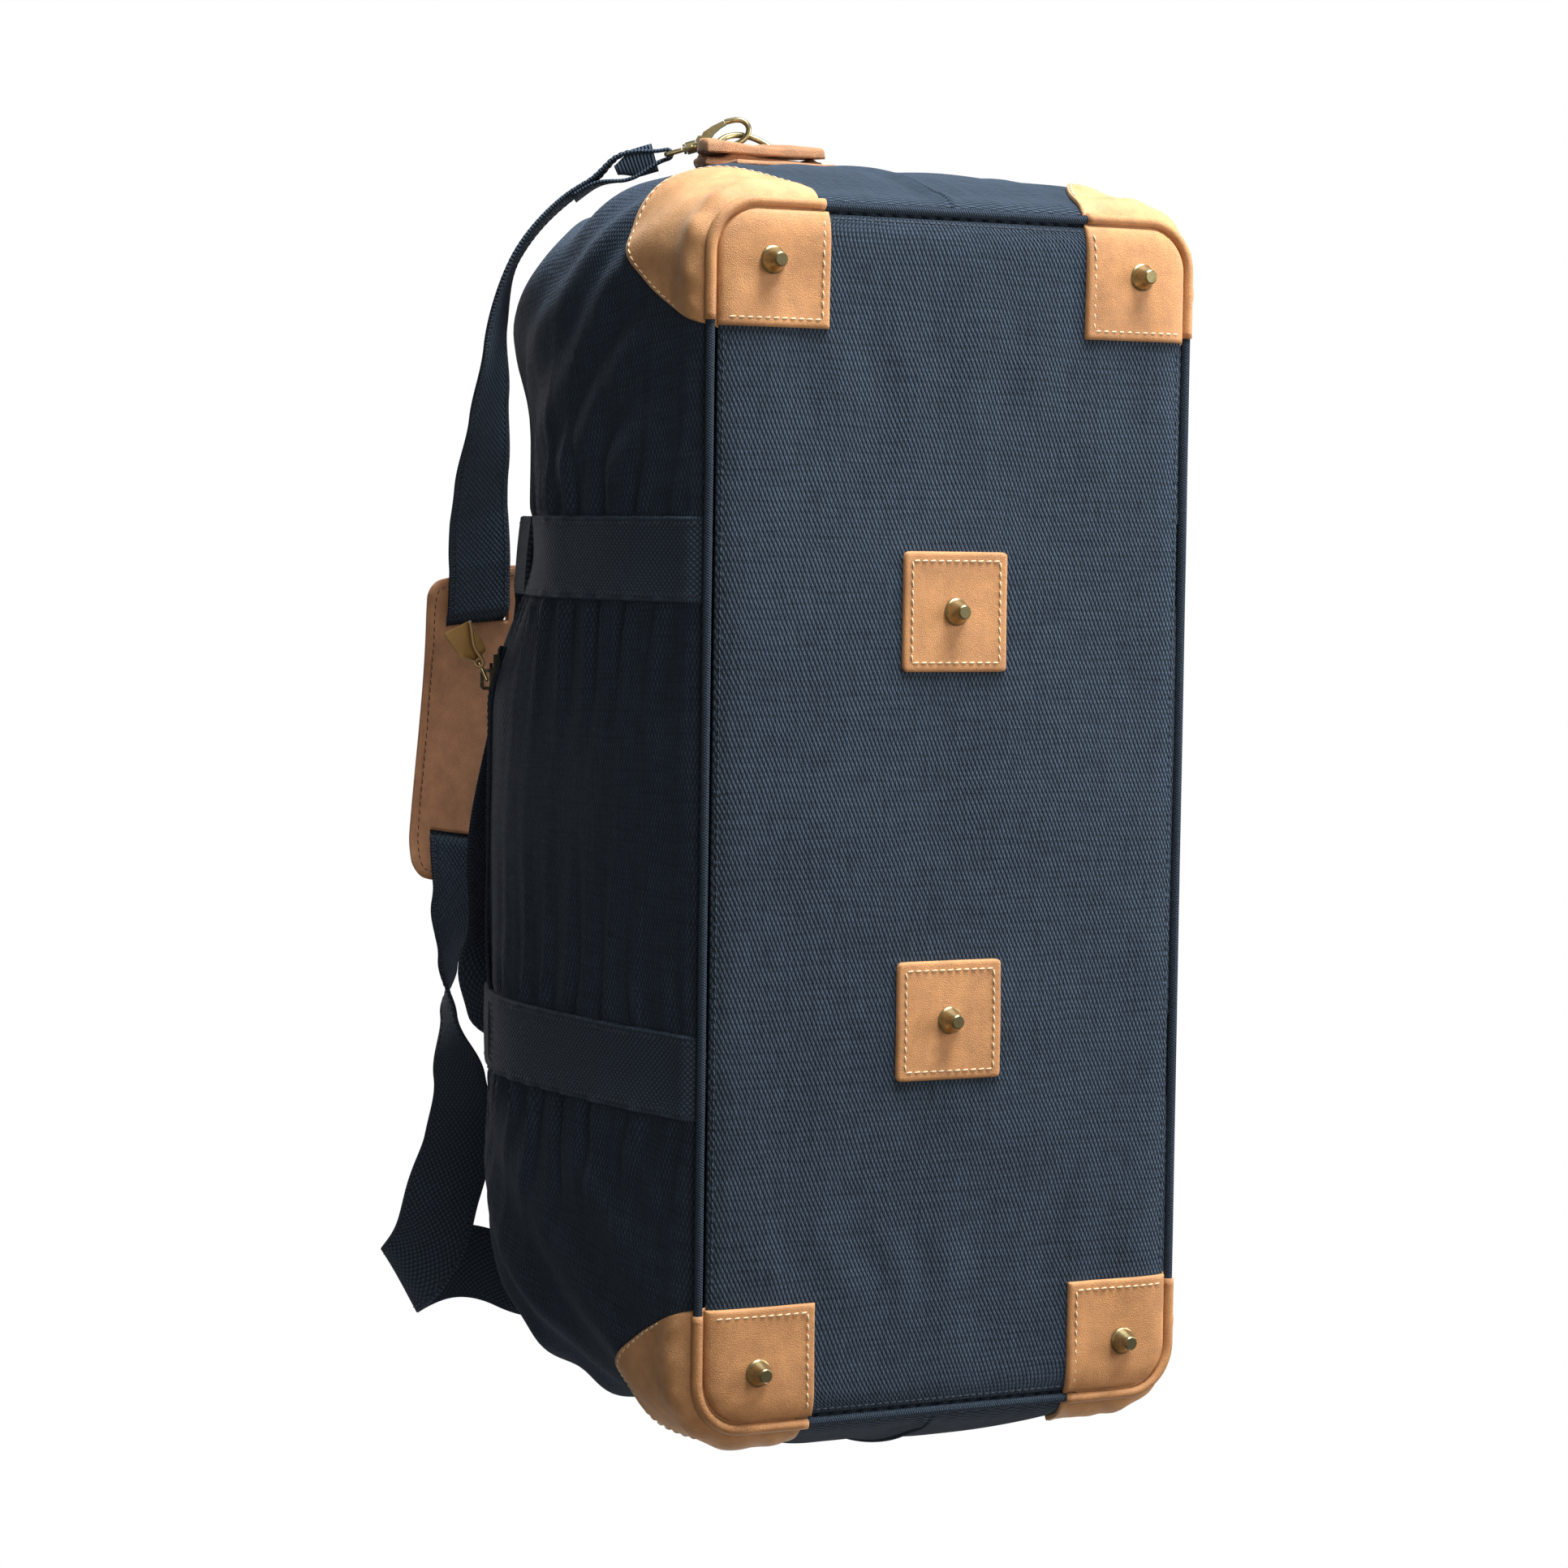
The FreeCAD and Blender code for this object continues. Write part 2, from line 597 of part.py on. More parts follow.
# ---------------------------------------------------------------- shoulder strap
def strap_knots():
    """Centre and width direction of the shoulder strap, from the +X snap to the -X snap."""
    start, start_side, start_pull = eye_bar(1)
    finish, finish_side, finish_pull = eye_bar(-1)
    return [
        (start, start_side),
        (start + start_pull * 14, start_side),
        (V(287, -72, 279), V(0, 0.46, 0.88)),
        (V(260, -93, 288), V(0, 0.46, 0.88)),
        (V(222, -97, 302), V(0, 0.60, 0.80)),
        (V(188, -93, 318), V(0, 0.76, 0.65)),
        (V(152, -88, 338), V(0, 0.90, 0.44)),
        (V(112, -82, 357), V(0, 0.97, 0.24)),
        (V(PAD_X + PAD_SLOT_X, -79, 365), V(0, 0.98, 0.19)),
        (V(PAD_X, -80, 371), V(0, 0.98, 0.19)),
        (V(PAD_X - PAD_SLOT_X, -86, 368), V(0, 0.98, 0.19)),
        (V(-68, -91, 362), V(0, 0.90, 0.43)),
        (V(-96, -96, 357), V(0, 0.60, 0.80)),
        (V(-122, -97, 353), V(0, 0.20, 0.98)),
        (V(-154, -92, 350), V(0.0, -0.35, 0.93)),
        (V(-186, -93, 347), V(0.1, -0.70, 0.70)),
        (V(-214, -104, 343), V(0.4, -0.80, 0.55)),
        (V(-238, -114, 338), V(0.62, -0.65, 0.45)),
        (V(-251, -124, 338), V(0.78, -0.50, 0.34)),
        (V(-257, -122, 352), V(0.86, -0.40, 0.25)),
        (V(-251, -102, 355), V(0.97, -0.1, 0.1)),
        (V(-254, -72, 333), V(1, 0, -0.1)),
        (finish + finish_pull * 52, finish_side),
        (finish + finish_pull * 12, finish_side),
        (finish, finish_side),
    ]


def slot_offset(x):
    """Strap height relative to the pad: outside the slots it lies below the pad, between them above."""
    height = (PAD_T + STRAP_T) / 2 + PAD_GAP
    run = 4.6
    distance = abs(x - PAD_X) - PAD_SLOT_X
    t = min(1.0, max(0.0, (distance + run) / (2 * run)))
    return height * (1 - 2 * t * t * (3 - 2 * t))


def strap_stations(steps):
    stations = smooth_stations(strap_knots(), steps)
    near_pad = PAD_X + PAD_L
    moved = []
    for centre, across, travel in stations:
        lift = V(0, 0, 0)
        if abs(centre.x - PAD_X) < near_pad:
            fade = min(1.0, max(0.0, (near_pad - abs(centre.x - PAD_X)) / 60.0))
            up = across.cross(travel).normalize()
            up = up if up.z > 0 else up * -1
            lift = up * (slot_offset(centre.x) * fade)
        moved.append((centre + lift, across))
    result = []
    for i, (centre, across) in enumerate(moved):
        travel = moved[min(i + 1, len(moved) - 1)][0] - moved[max(i - 1, 0)][0]
        travel = travel.normalize()
        across = (across - travel * across.dot(travel)).normalize()
        result.append((centre, across, travel))
    return result


def sleeve(end):
    """The webbing folded round a snap's eye bar."""
    centre, side, _ = eye_bar(end)
    a, b = centre - side * (WEB_W / 2), centre + side * (WEB_W / 2)
    bore = EYE_WIRE_R + RUNNING
    return cylinder(bore + STRAP_T, a, b), cylinder(bore, a - side, b + side)


def strap_webbing():
    strip = ribbon(strap_stations(420), WEB_W, STRAP_T)
    folds = [sleeve(end) for end in (1, -1)]
    strip = fuse(strip, *[outer for outer, _ in folds])
    for _, bore in folds:
        strip = strip.cut(bore)
    return strip


def strap_pad():
    """Leather shoulder pad with two slots, following the strap's own line."""
    line = [s for s in smooth_stations(strap_knots(), 420) if abs(s[0].x - PAD_X) <= PAD_L / 2]
    plate = ribbon(line[:-3:6] + line[-1:], PAD_W, PAD_T)
    for s in (-1, 1):
        centre, across, travel = min(line, key=lambda st: abs(st[0].x - PAD_X - s * PAD_SLOT_X))
        half_l, half_w = PAD_SLOT_L / 2, WEB_W / 2 + 1.5
        slot = placed(box(-half_l, half_l, -half_w, half_w, -20, 20), centre, travel, across)
        plate = plate.cut(slot)
    return plate


def strap_adjuster():
    """Bent metal slider on the straight part of the strap near the -X snap."""
    centre, side, pull = eye_bar(-1)
    half = WEB_W / 2 + 0.8
    clear = STRAP_T / 2 + 0.7
    rail_y = half + ADJUSTER_WIRE / 2
    thick = ADJUSTER_WIRE / 2
    top = clear + 1.6
    rails = [box(-ADJUSTER_HALF, ADJUSTER_HALF, s * rail_y - thick, s * rail_y + thick, -top, top)
             for s in (-1, 1)]
    bar = ADJUSTER_BAR / 2
    end_at = ADJUSTER_HALF - bar
    ends = [box(x - bar, x + bar, -half - 1, half + 1, clear, top) for x in (-end_at, end_at)]
    middle = box(-bar, bar, -half - 1, half + 1, -top, -clear)
    return placed(fuse(*(rails + ends + [middle])), centre + pull * ADJUSTER_AT, pull, side)


# ---------------------------------------------------------------- build and export
FOOT_PLACES = [(sx * FEET_X, sy * FEET_Y) for sx in (-1, 1) for sy in (-1, 1)]
FOOT_PLACES += [(-MID_FOOT_X, 0.0), (MID_FOOT_X, 0.0)]
SLIDER_TOP_Z = 293.7
POCKET_SLIDER_TOP = -1.4
BRIDGE_PIVOT = 2.9                # height of a pull's bar over its slider's top plate
MAIN_PULL_Z = SLIDER_TOP_Z + BRIDGE_PIVOT
POCKET_PULL_H = POCKET_SLIDER_TOP + BRIDGE_PIVOT
OUTER = body_solid(0)
POCKET_AXES = pocket_axes()
PIPING = piping_loop()
NODES = {}


def four_corners(name, shape):
    """Adds the part made for the +X +Y corner at all four corners."""
    NODES[name + "_back_right"] = shape
    NODES[name + "_back_left"] = mirror_x(shape)
    NODES[name + "_front_right"] = mirror_y(shape)
    NODES[name + "_front_left"] = mirror_x(mirror_y(shape))


def build_body():
    NODES["bottom_panel"] = bottom_panel()
    NODES["base_board"] = base_board()
    NODES["front_shell"] = side_shell(-1)
    NODES["back_shell"] = side_shell(1)
    NODES["top_panel_front"] = top_panel(-1)
    NODES["top_panel_back"] = top_panel(1)
    NODES["lining"] = lining()
    NODES["base_piping"] = base_piping()
    four_corners("corner_patch", corner_patch())
    four_corners("corner_wing", corner_wing())
    NODES["centre_patch_right"] = centre_patch()
    NODES["centre_patch_left"] = mirror_x(centre_patch())
    NODES["foot_studs"] = group([foot_stud(x, y) for x, y in FOOT_PLACES])
    NODES["foot_washers"] = group([foot_washer(x, y) for x, y in FOOT_PLACES])
    four_corners("webbing_band", band())


def build_zips():
    for name, sign in (("front", -1), ("back", 1)):
        NODES["zip_tape_" + name] = main_tape(sign)
        NODES["zip_teeth_" + name] = comb(-ZIP_HALF_X, ZIP_HALF_X, 2.4, 3.6, 290.4, 293.4, sign)
    NODES["pocket_bag"] = pocket_bag()
    NODES["pocket_zip_tape"] = group([pocket_tape(s) for s in (-1, 1)])
    rows = [comb(POCKET_X0, POCKET_X1, 2.0, 3.1, -3.9, -1.7, s) for s in (-1, 1)]
    NODES["pocket_zip_teeth"] = group([in_pocket(row) for row in rows])
    main_slider = slider(SLIDER_W, SLIDER_L, 290.1, SLIDER_TOP_Z)
    ring = pull_ring(12.0, 9.0)
    leather = leather_pull(12.0, 36.0, 13.0)
    for name, end in (("left", -1), ("right", 1)):
        body = main_slider.copy()
        body.translate(V(end * SLIDER_REST_X, 0, 0))
        NODES["slider_" + name] = body
        NODES["slider_ring_" + name] = main_pull(ring, end)
        NODES["slider_pull_" + name] = main_pull(leather, end)
    NODES["pocket_slider"] = in_pocket(slider(9.0, 16.0, -5.0, POCKET_SLIDER_TOP), POCKET_SLIDER_X)
    NODES["pocket_slider_ring"] = pocket_pull(pull_ring(9.0, 8.0))
    NODES["pocket_slider_pull"] = pocket_pull(leather_pull(9.0, 25.0, 13.0))


def build_ends():
    for name, flip in (("right", lambda s: s), ("left", mirror_x)):
        NODES["zip_end_tab_" + name] = flip(end_tab())
        NODES["ring_anchor_" + name] = flip(ring_anchor())
        NODES["d_ring_" + name] = flip(placed_ring())


def build_strap():
    NODES["handle_back"] = handle()
    NODES["handle_front"] = mirror_y(NODES["handle_back"])
    NODES["strap_webbing"] = strap_webbing()
    NODES["strap_pad"] = strap_pad()
    NODES["strap_adjuster"] = strap_adjuster()
    for name, end in (("right", 1), ("left", -1)):
        NODES["snap_eye_" + name] = in_snap(snap_eye(eye_side(end)), end)
        NODES["snap_hook_" + name] = in_snap(snap_hook(), end)
        NODES["snap_gate_" + name] = in_snap(snap_gate(), end)
        NODES["snap_pin_" + name] = in_snap(snap_pin(), end)


build_body()
build_zips()
build_ends()
build_strap()
os.makedirs("parts", exist_ok=True)
for node, shape in NODES.items():
    solids = shape.Solids
    print(node, len(solids), shape.isValid(), round(shape.Volume), [round(v, 1) for v in (
        shape.BoundBox.XMin, shape.BoundBox.XMax, shape.BoundBox.YMin, shape.BoundBox.YMax,
        shape.BoundBox.ZMin, shape.BoundBox.ZMax)])
    shape.exportStep("parts/" + node + ".step")
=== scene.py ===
"""Looks of the canvas weekender bag: cloth, leather, webbing, stitching, brass, floor, light and camera."""

import bpy
import math
import numpy as np
from mathutils import Matrix, Vector


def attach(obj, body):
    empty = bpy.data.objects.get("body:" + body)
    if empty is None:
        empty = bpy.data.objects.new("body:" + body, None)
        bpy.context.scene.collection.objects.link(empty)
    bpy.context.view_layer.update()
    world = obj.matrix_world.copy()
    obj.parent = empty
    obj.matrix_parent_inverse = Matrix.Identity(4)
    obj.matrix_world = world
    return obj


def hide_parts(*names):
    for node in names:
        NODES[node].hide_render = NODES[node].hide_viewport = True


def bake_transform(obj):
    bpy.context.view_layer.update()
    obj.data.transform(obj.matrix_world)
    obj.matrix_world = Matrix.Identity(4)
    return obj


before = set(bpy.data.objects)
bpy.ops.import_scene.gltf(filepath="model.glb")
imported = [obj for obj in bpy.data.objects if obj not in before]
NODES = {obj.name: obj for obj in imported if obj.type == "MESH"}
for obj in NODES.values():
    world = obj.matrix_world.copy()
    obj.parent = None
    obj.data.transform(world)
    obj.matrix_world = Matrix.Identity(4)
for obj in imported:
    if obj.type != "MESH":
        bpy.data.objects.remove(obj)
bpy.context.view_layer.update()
MM = 0.001
TURN = 2 * math.pi

# ---------------------------------------------------------------- sizes shared with the CAD, in mm
BASE_Z = 10.0
BODY_H = 285.0
SEAM_Z = 15.0
WALL_TOP_Z = 294.8
BASE_SEAM = (270.0, 122.5, 22.0)  # half length, half width, corner radius
BASE_CLOTH = (268.0, 120.5, 20.5)
SECTIONS = np.array([
    (0.0, *BASE_SEAM),
    (45.0, 286.0, 133.0, 46.0),
    (120.0, 295.0, 140.0, 70.0),
    (190.0, 293.0, 137.0, 80.0),
    (240.0, 283.0, 120.0, 85.0),
    (270.0, 266.0, 90.0, 75.0),
    (285.0, 240.0, 50.0, 46.0),
])                                # height, half length, half width, corner radius
CORNER_X, CORNER_Y = 216.0, 66.0
WEB_W = 38.0
BAND_X = 114.0
BAND_TOP_Z = 222.0
POCKET_ENDS = (-92.0, 66.0)
POCKET_LOW, POCKET_HIGH = 230.6, 241.4
POCKET_UP, POCKET_OUT = np.array([0, 0.39828, 0.91726]), np.array([0, -0.91726, 0.39828])
PAD_T, PAD_W, PAD_L, PAD_X, PAD_SLOT_X = 3.2, 62.0, 161.0, 24.0, 57.0
STRAP_T = 2.0
PAD_GAP = 0.35
RING = Vector((306.0, 6.0, 226.0))
RING_R = 18.5
EYE_WIRE_R = 1.2


# ---------------------------------------------------------------- numbers and curves
def spline(xs, ys):
    """Natural cubic spline through ys at xs, for a row of values or of points."""
    xs, ys = np.asarray(xs, float), np.asarray(ys, float)
    n = len(xs)
    h = np.diff(xs)
    slope = np.diff(ys, axis=0) / (h if ys.ndim == 1 else h[:, None])
    a = np.eye(n)
    rhs = np.zeros_like(ys)
    for i in range(1, n - 1):
        a[i, i - 1:i + 2] = h[i - 1], 2 * (h[i - 1] + h[i]), h[i]
        rhs[i] = 6 * (slope[i] - slope[i - 1])
    m = np.linalg.solve(a, rhs)

    def at(x):
        x = np.clip(x, xs[0], xs[-1])
        k = np.clip(np.searchsorted(xs, x) - 1, 0, n - 2)
        u, w, hk = xs[k + 1] - x, x - xs[k], h[k]
        if ys.ndim > 1:
            u, w, hk = u[..., None], w[..., None], hk[..., None]
        bend = (m[k] * u ** 3 + m[k + 1] * w ** 3) / (6 * hk)
        return bend + (ys[k] / hk - m[k] * hk / 6) * u + (ys[k + 1] / hk - m[k + 1] * hk / 6) * w

    return at


def unit(v):
    return v / np.maximum(np.linalg.norm(v, axis=-1, keepdims=True), 1e-9)


def square_to(side, travel):
    return unit(side - travel * np.sum(side * travel, axis=1, keepdims=True))


def smooth(x, low, high):
    t = np.clip((x - low) / (high - low), 0, 1)
    return t * t * (3 - 2 * t)


def hump(x, middle, width):
    return np.exp(-((x - middle) / width) ** 2)


def arc(points):
    """Length along a row of points, at each of them."""
    return np.concatenate([[0], np.cumsum(np.linalg.norm(np.diff(points, axis=0), axis=1))])


def read(s, at, values):
    """Rows of values known at the lengths at, read off at the lengths s."""
    return np.stack([np.interp(s, at, column) for column in values.T], -1)


def joined(marks, steps):
    """Numbers running through the marks, with so many steps from each mark to the next."""
    runs = [np.linspace(a, b, n, endpoint=False) for a, b, n in zip(marks, marks[1:], steps)]
    return np.concatenate([*runs, marks[-1:]])


def flat(x, y):
    """Points at height nought."""
    return np.stack([x, y, x * 0], -1)


def facing(path, direction):
    """One normal for every point of a path."""
    return np.tile(direction, (len(path), 1))


HASH_AXES = np.array([374761393, 668265263, 2147483647])
HASH_SEED, HASH_MIX, HASH_STEP = 974634777, 1274126177, 17.31


def value_noise(points, scale, seed):
    """Smooth noise in -1..1 over an array of 3-D points."""
    p = np.asarray(points, float) / scale + seed * HASH_STEP
    cell = np.floor(p).astype(np.int64)
    f = p - cell
    f = f * f * (3 - 2 * f)
    total = 0
    for corner in np.ndindex(2, 2, 2):
        n = ((cell + corner) * HASH_AXES).sum(-1) + seed * HASH_SEED
        n = (n ^ (n >> 13)) * HASH_MIX
        value = ((n ^ (n >> 16)) & 0xFFFF) / 32767.5 - 1
        total = total + value * np.abs(1 - np.array(corner) - f).prod(-1)
    return total


# ---------------------------------------------------------------- the stuffed body as a surface
SECTION_AT = [spline(SECTIONS[:, 0], SECTIONS[:, k]) for k in (1, 2, 3)]


def section(z):
    """Half length, half width and corner radius at height z."""
    return [f(np.clip(z - BASE_Z, 0, BODY_H)) for f in SECTION_AT]


def plain_wall(t, z):
    """Point on the undisturbed wall. t runs from 0 at the front centre: 1 where the +X corner starts,
    2 where it ends and 3 at the end seam; negative t goes to -X."""
    a, b, r = section(z)
    q = np.abs(t)
    angle = np.clip(q - 1, 0, 1) * math.pi / 2
    x = np.where(q < 1, q * (a - r), (a - r) + r * np.sin(angle))
    y = np.where(q < 2, -(b - r) - r * np.cos(angle), -(b - r) * (3 - q))
    return np.stack([np.sign(t) * x, y, z * np.ones_like(t)], -1)


def wall_t(x, z):
    """Wall parameter x mm from the middle of a long side."""
    a, b, r = section(z)
    return x / (a - r)


def corner_t(e, z, end):
    """Wall parameter at e mm round from the middle of a corner, e negative towards the front."""
    a, b, r = section(z)
    half = r * math.pi / 4
    t = np.where(np.abs(e) <= half, 1.5 + e / (2 * half), 0)
    t = np.where(e < -half, 1 - (-e - half) / (a - r), t)
    return end * np.where(e > half, 2 + (e - half) / (b - r), t)


def wall_normal(t, z):
    dt, dz = 1e-3, 0.5
    along = plain_wall(t + dt, z) - plain_wall(t - dt, z)
    up = plain_wall(t, z + dz) - plain_wall(t, z - dz)
    return unit(np.cross(along, up))


def stuffing(q, p, side):
    """Broad swells and hollows: full ends, and on the front a slack shoulder near each end."""
    x, height = p[..., 0], p[..., 2]
    right = x > 0
    full = 3.0 * smooth(q, 1.7, 2.5) * np.where(right, hump(height, 150, 85), 1.7 * hump(height, 90, 70))
    if side > 0:
        return full
    shoulder = smooth(x, 40, 118) * smooth(250 - x, 0, 80) * smooth(height, 130, 225)
    corner = smooth(q, 0.8, 1.5) * smooth(2.6 - q, 0, 0.7)
    near = -8.0 * corner * hump(height, 185, 65) * right
    far = corner * ~right * (12.0 * hump(height, 120, 60) + 5.0 * hump(height, 210, 50))
    return full - 17.0 * shoulder + near - far


def end_seam(q, p):
    """A flat-felled ridge down the middle of each end, between two shallow troughs."""
    ridge, ridge_w = 1.5, 3.6
    trough, trough_w, trough_y = 0.8, 5.0, 9.0
    not_on_end = 50
    from_seam = np.abs(p[..., 1]) + np.where(q < 2, not_on_end, 0)
    return ridge * hump(from_seam, 0, ridge_w) - trough * hump(from_seam, trough_y, trough_w)


def band_gathers(q, p, side):
    """The webbing bands pull the wall in and gather it beside them."""
    pitch, fine_pitch, fade, pull = 21.0, 11.7, 34.0, 2.4
    to_band = np.abs(np.abs(p[..., 0]) - BAND_X)
    beside = np.exp(-np.maximum(to_band - WEB_W / 2, 0) / fade) * smooth(to_band, 15, 24)
    tilt = p[..., 2] * 0.93 + p[..., 0] * 0.10 + 9 * value_noise(p, 60.0, 11 + side)
    ripple = np.sin(tilt * TURN / pitch) + 0.5 * np.sin(tilt * TURN / fine_pitch + 1.3)
    height = 1.6 + 1.1 * value_noise(p, 45.0, 13 + side)
    return smooth(2 - q, 0.6, 1.0) * (beside * ripple * height - pull * hump(to_band, 0, 30.0))


def leaning_folds(q, z, p, side):
    """Long soft folds lean across the walls towards the base corners."""
    pitch, height = 37.0, 2.2
    x = np.abs(p[..., 0])
    lean = p[..., 2] * 0.55 + (x - 190) * 0.83 + 12 * value_noise(p, 75.0, 27 + side)
    slack = smooth(x, 135, 175) * smooth(2.1 - q, 0, 0.5) * smooth(z, 30, 80) * smooth(270 - z, 0, 60)
    return height * slack * np.sin(lean * TURN / pitch) * (0.7 + 0.5 * value_noise(p, 60.0, 29 + side))


def fan_creases(q, p, side):
    """Slack creases fan out from the ring's leather over the upper corners of each end."""
    height, rays = 2.5, 30
    out, down = np.abs(p[..., 1]) - 10, 236 - p[..., 2]
    fan = np.arctan2(out + 30, down + 70)
    reach = smooth(q, 1.05, 1.75) * smooth(out, 12, 45)
    reach = reach * smooth(p[..., 2], 60, 150) * smooth(295 - p[..., 2], 4, 40)
    wave = np.sin(fan * rays + 2.2 * value_noise(p, 70.0, 17 + side))
    return reach * height * wave * (0.8 + 0.5 * value_noise(p, 50.0, 19 + side))


def seam_puckers(q, z, p, side):
    """Small puckers where the wall is eased into the base seam."""
    pitch, height, fade = 13.0, 0.55, 9.0
    x = np.abs(p[..., 0])
    around = np.where(q < 1, x, x + np.abs(p[..., 1]))
    low = np.exp(-np.maximum(z - SEAM_Z - 3, 0) / fade)
    return low * height * np.sin(around * TURN / pitch + 1.5 * value_noise(p, 40.0, 23 + side))


def folds(t, z, p, side):
    """How far the cloth stands proud of the plain wall, in mm; at the bottom it rolls under to its seam."""
    q = np.abs(t)
    d = 1.6 * value_noise(p, 95.0, 3 + side) + 0.5 * value_noise(p, 34.0, 5 + side)
    d += end_seam(q, p) + band_gathers(q, p, side) + leaning_folds(q, z, p, side)
    d += fan_creases(q, p, side) + stuffing(q, p, side) + seam_puckers(q, z, p, side)
    tuck, tuck_h, roll = 3.4, 9.0, 1.2
    under = np.clip((SEAM_Z + tuck_h - z) / tuck_h, 0, 1)
    return d * smooth(z, SEAM_Z, SEAM_Z + 16) - tuck * under ** 2.2 + roll * hump(z, SEAM_Z + 10, 8.0)


def wall(t, z, lift, side):
    """Point on the finished wall; side is -1 for the front and 1 for the back."""
    t, z = np.broadcast_arrays(np.asarray(t, float), np.asarray(z, float))
    p = plain_wall(t, z)
    p = p + wall_normal(t, z) * (folds(t, z, p * (1, side, 1), side) + lift)[..., None]
    p[..., 1] *= -side
    return p


def base_height(x, y):
    """Height of the crowned canvas base: flat in the middle, turning up to its seam."""
    half_x, half_y, r = BASE_CLOTH
    edge_w, rise = 26.0, 3.4
    qx, qy = np.abs(x) - (half_x - r), np.abs(y) - (half_y - r)
    outside = np.hypot(np.maximum(qx, 0), np.maximum(qy, 0)) + np.minimum(np.maximum(qx, qy), 0) - r
    edge = np.clip(1 + outside / edge_w, 0, 1)
    p = flat(x, y)
    soft = 0.9 * value_noise(p, 80.0, 31) + 0.35 * value_noise(p, 28.0, 33)
    tension = 0.5 * np.sin(y / 5.3 + 1.8 * value_noise(p, 45.0, 35)) * np.exp(-np.abs(np.abs(x) - 200) / 26.0)
    return BASE_Z + rise * edge ** 5 - (soft + tension) * (1 - edge ** 3)


def base_half_width(x, inset):
    half_x, half_y, r = (size - inset for size in BASE_CLOTH)
    over = np.clip(np.abs(x) - (half_x - r), 0, r)
    return half_y - r + np.sqrt(np.maximum(r * r - over * over, 0))


# ---------------------------------------------------------------- mesh makers
def mesh_object(name, verts, faces, material, uv=None, shade=True):
    """Makes an object from points in mm; uv is one pair in mm per vertex."""
    mesh = bpy.data.meshes.new(name)
    mesh.from_pydata([tuple(v) for v in np.asarray(verts) * MM], [], faces)
    mesh.update()
    if uv is not None:
        layer = mesh.uv_layers.new(name="mm")
        loops = np.zeros(len(mesh.loops), np.int32)
        mesh.loops.foreach_get("vertex_index", loops)
        layer.data.foreach_set("uv", np.asarray(uv, float)[loops].ravel())
    if shade:
        mesh.polygons.foreach_set("use_smooth", [True] * len(mesh.polygons))
    obj = bpy.data.objects.new(name, mesh)
    bpy.context.scene.collection.objects.link(obj)
    mesh.materials.append(material)
    return obj


def grid_faces(rows, cols, base=0, close=False):
    """Quads over a grid of vertices; close joins the last column to the first."""
    faces = []
    for low in range(base, base + (rows - 1) * cols, cols):
        high = low + cols
        for j in range(cols if close else cols - 1):
            k = (j + 1) % cols
            faces.append((low + j, low + k, high + k, high + j))
    return faces


def capped_rings(rows, cols, base=0):
    """Faces round a row of rings of vertices, closed at both ends."""
    first, last = tuple(range(base, base + cols)), tuple(range(base + (rows - 1) * cols, base + rows * cols))
    return grid_faces(rows, cols, base, close=True) + [first[::-1], last]


def grid_uv(points):
    """Arc lengths in mm over a grid of points."""
    spans = [np.linalg.norm(np.diff(points, axis=axis), axis=-1).mean(1 - axis) for axis in (1, 0)]
    u, v = [np.concatenate([[0], np.cumsum(span)]) for span in spans]
    return np.stack(np.meshgrid(u, v), -1).reshape(-1, 2)


def sheet(name, outer, inner, material, flip=False, keep=None):
    """A closed sheet between two matching grids of points; cells where keep is false are left out."""
    rows, cols = outer.shape[:2]
    n = rows * cols
    cells = grid_faces(rows, cols)
    if keep is not None:
        cells = [cell for cell, kept in zip(cells, keep.ravel()) if kept]
    rim = {}
    for cell in cells:
        for p, q in zip(cell, cell[1:] + cell[:1]):
            if (q, p) in rim:
                del rim[(q, p)]
            else:
                rim[(p, q)] = (q, p, p + n, q + n)
    faces = cells + [tuple(v + n for v in cell[::-1]) for cell in cells] + list(rim.values())
    if flip:
        faces = [face[::-1] for face in faces]
    used = sorted({v for face in faces for v in face})
    renumber = {old: new for new, old in enumerate(used)}
    faces = [tuple(renumber[v] for v in face) for face in faces]
    verts = np.concatenate([outer.reshape(-1, 3), inner.reshape(-1, 3)])[used]
    return mesh_object(name, verts, faces, material, np.tile(grid_uv(outer), (2, 1))[used])


EDGE_POINTS = np.array([0, 0.35, 1.0])
EDGE_STEPS, EDGE_SHARE = 2.2, (0.25, 0.72)


def with_edges(low, high, count, step):
    """Evenly spaced numbers with two extra close ones at each end, for a rounded edge."""
    inside = np.linspace(low + EDGE_STEPS * step, high - EDGE_STEPS * step, count)
    return np.concatenate([low + EDGE_POINTS * step, inside, high - EDGE_POINTS[::-1] * step])


def edge_lift(count, thickness):
    """How high a leather or webbing edge stands across a row of samples made by with_edges."""
    lift = np.full(count, thickness, float)
    lift[[0, -1]] = EDGE_SHARE[0] * thickness
    lift[[1, -2]] = EDGE_SHARE[1] * thickness
    return lift


def rounded_lift(rows, cols, thickness):
    return np.minimum.outer(edge_lift(rows, thickness), edge_lift(cols, thickness))


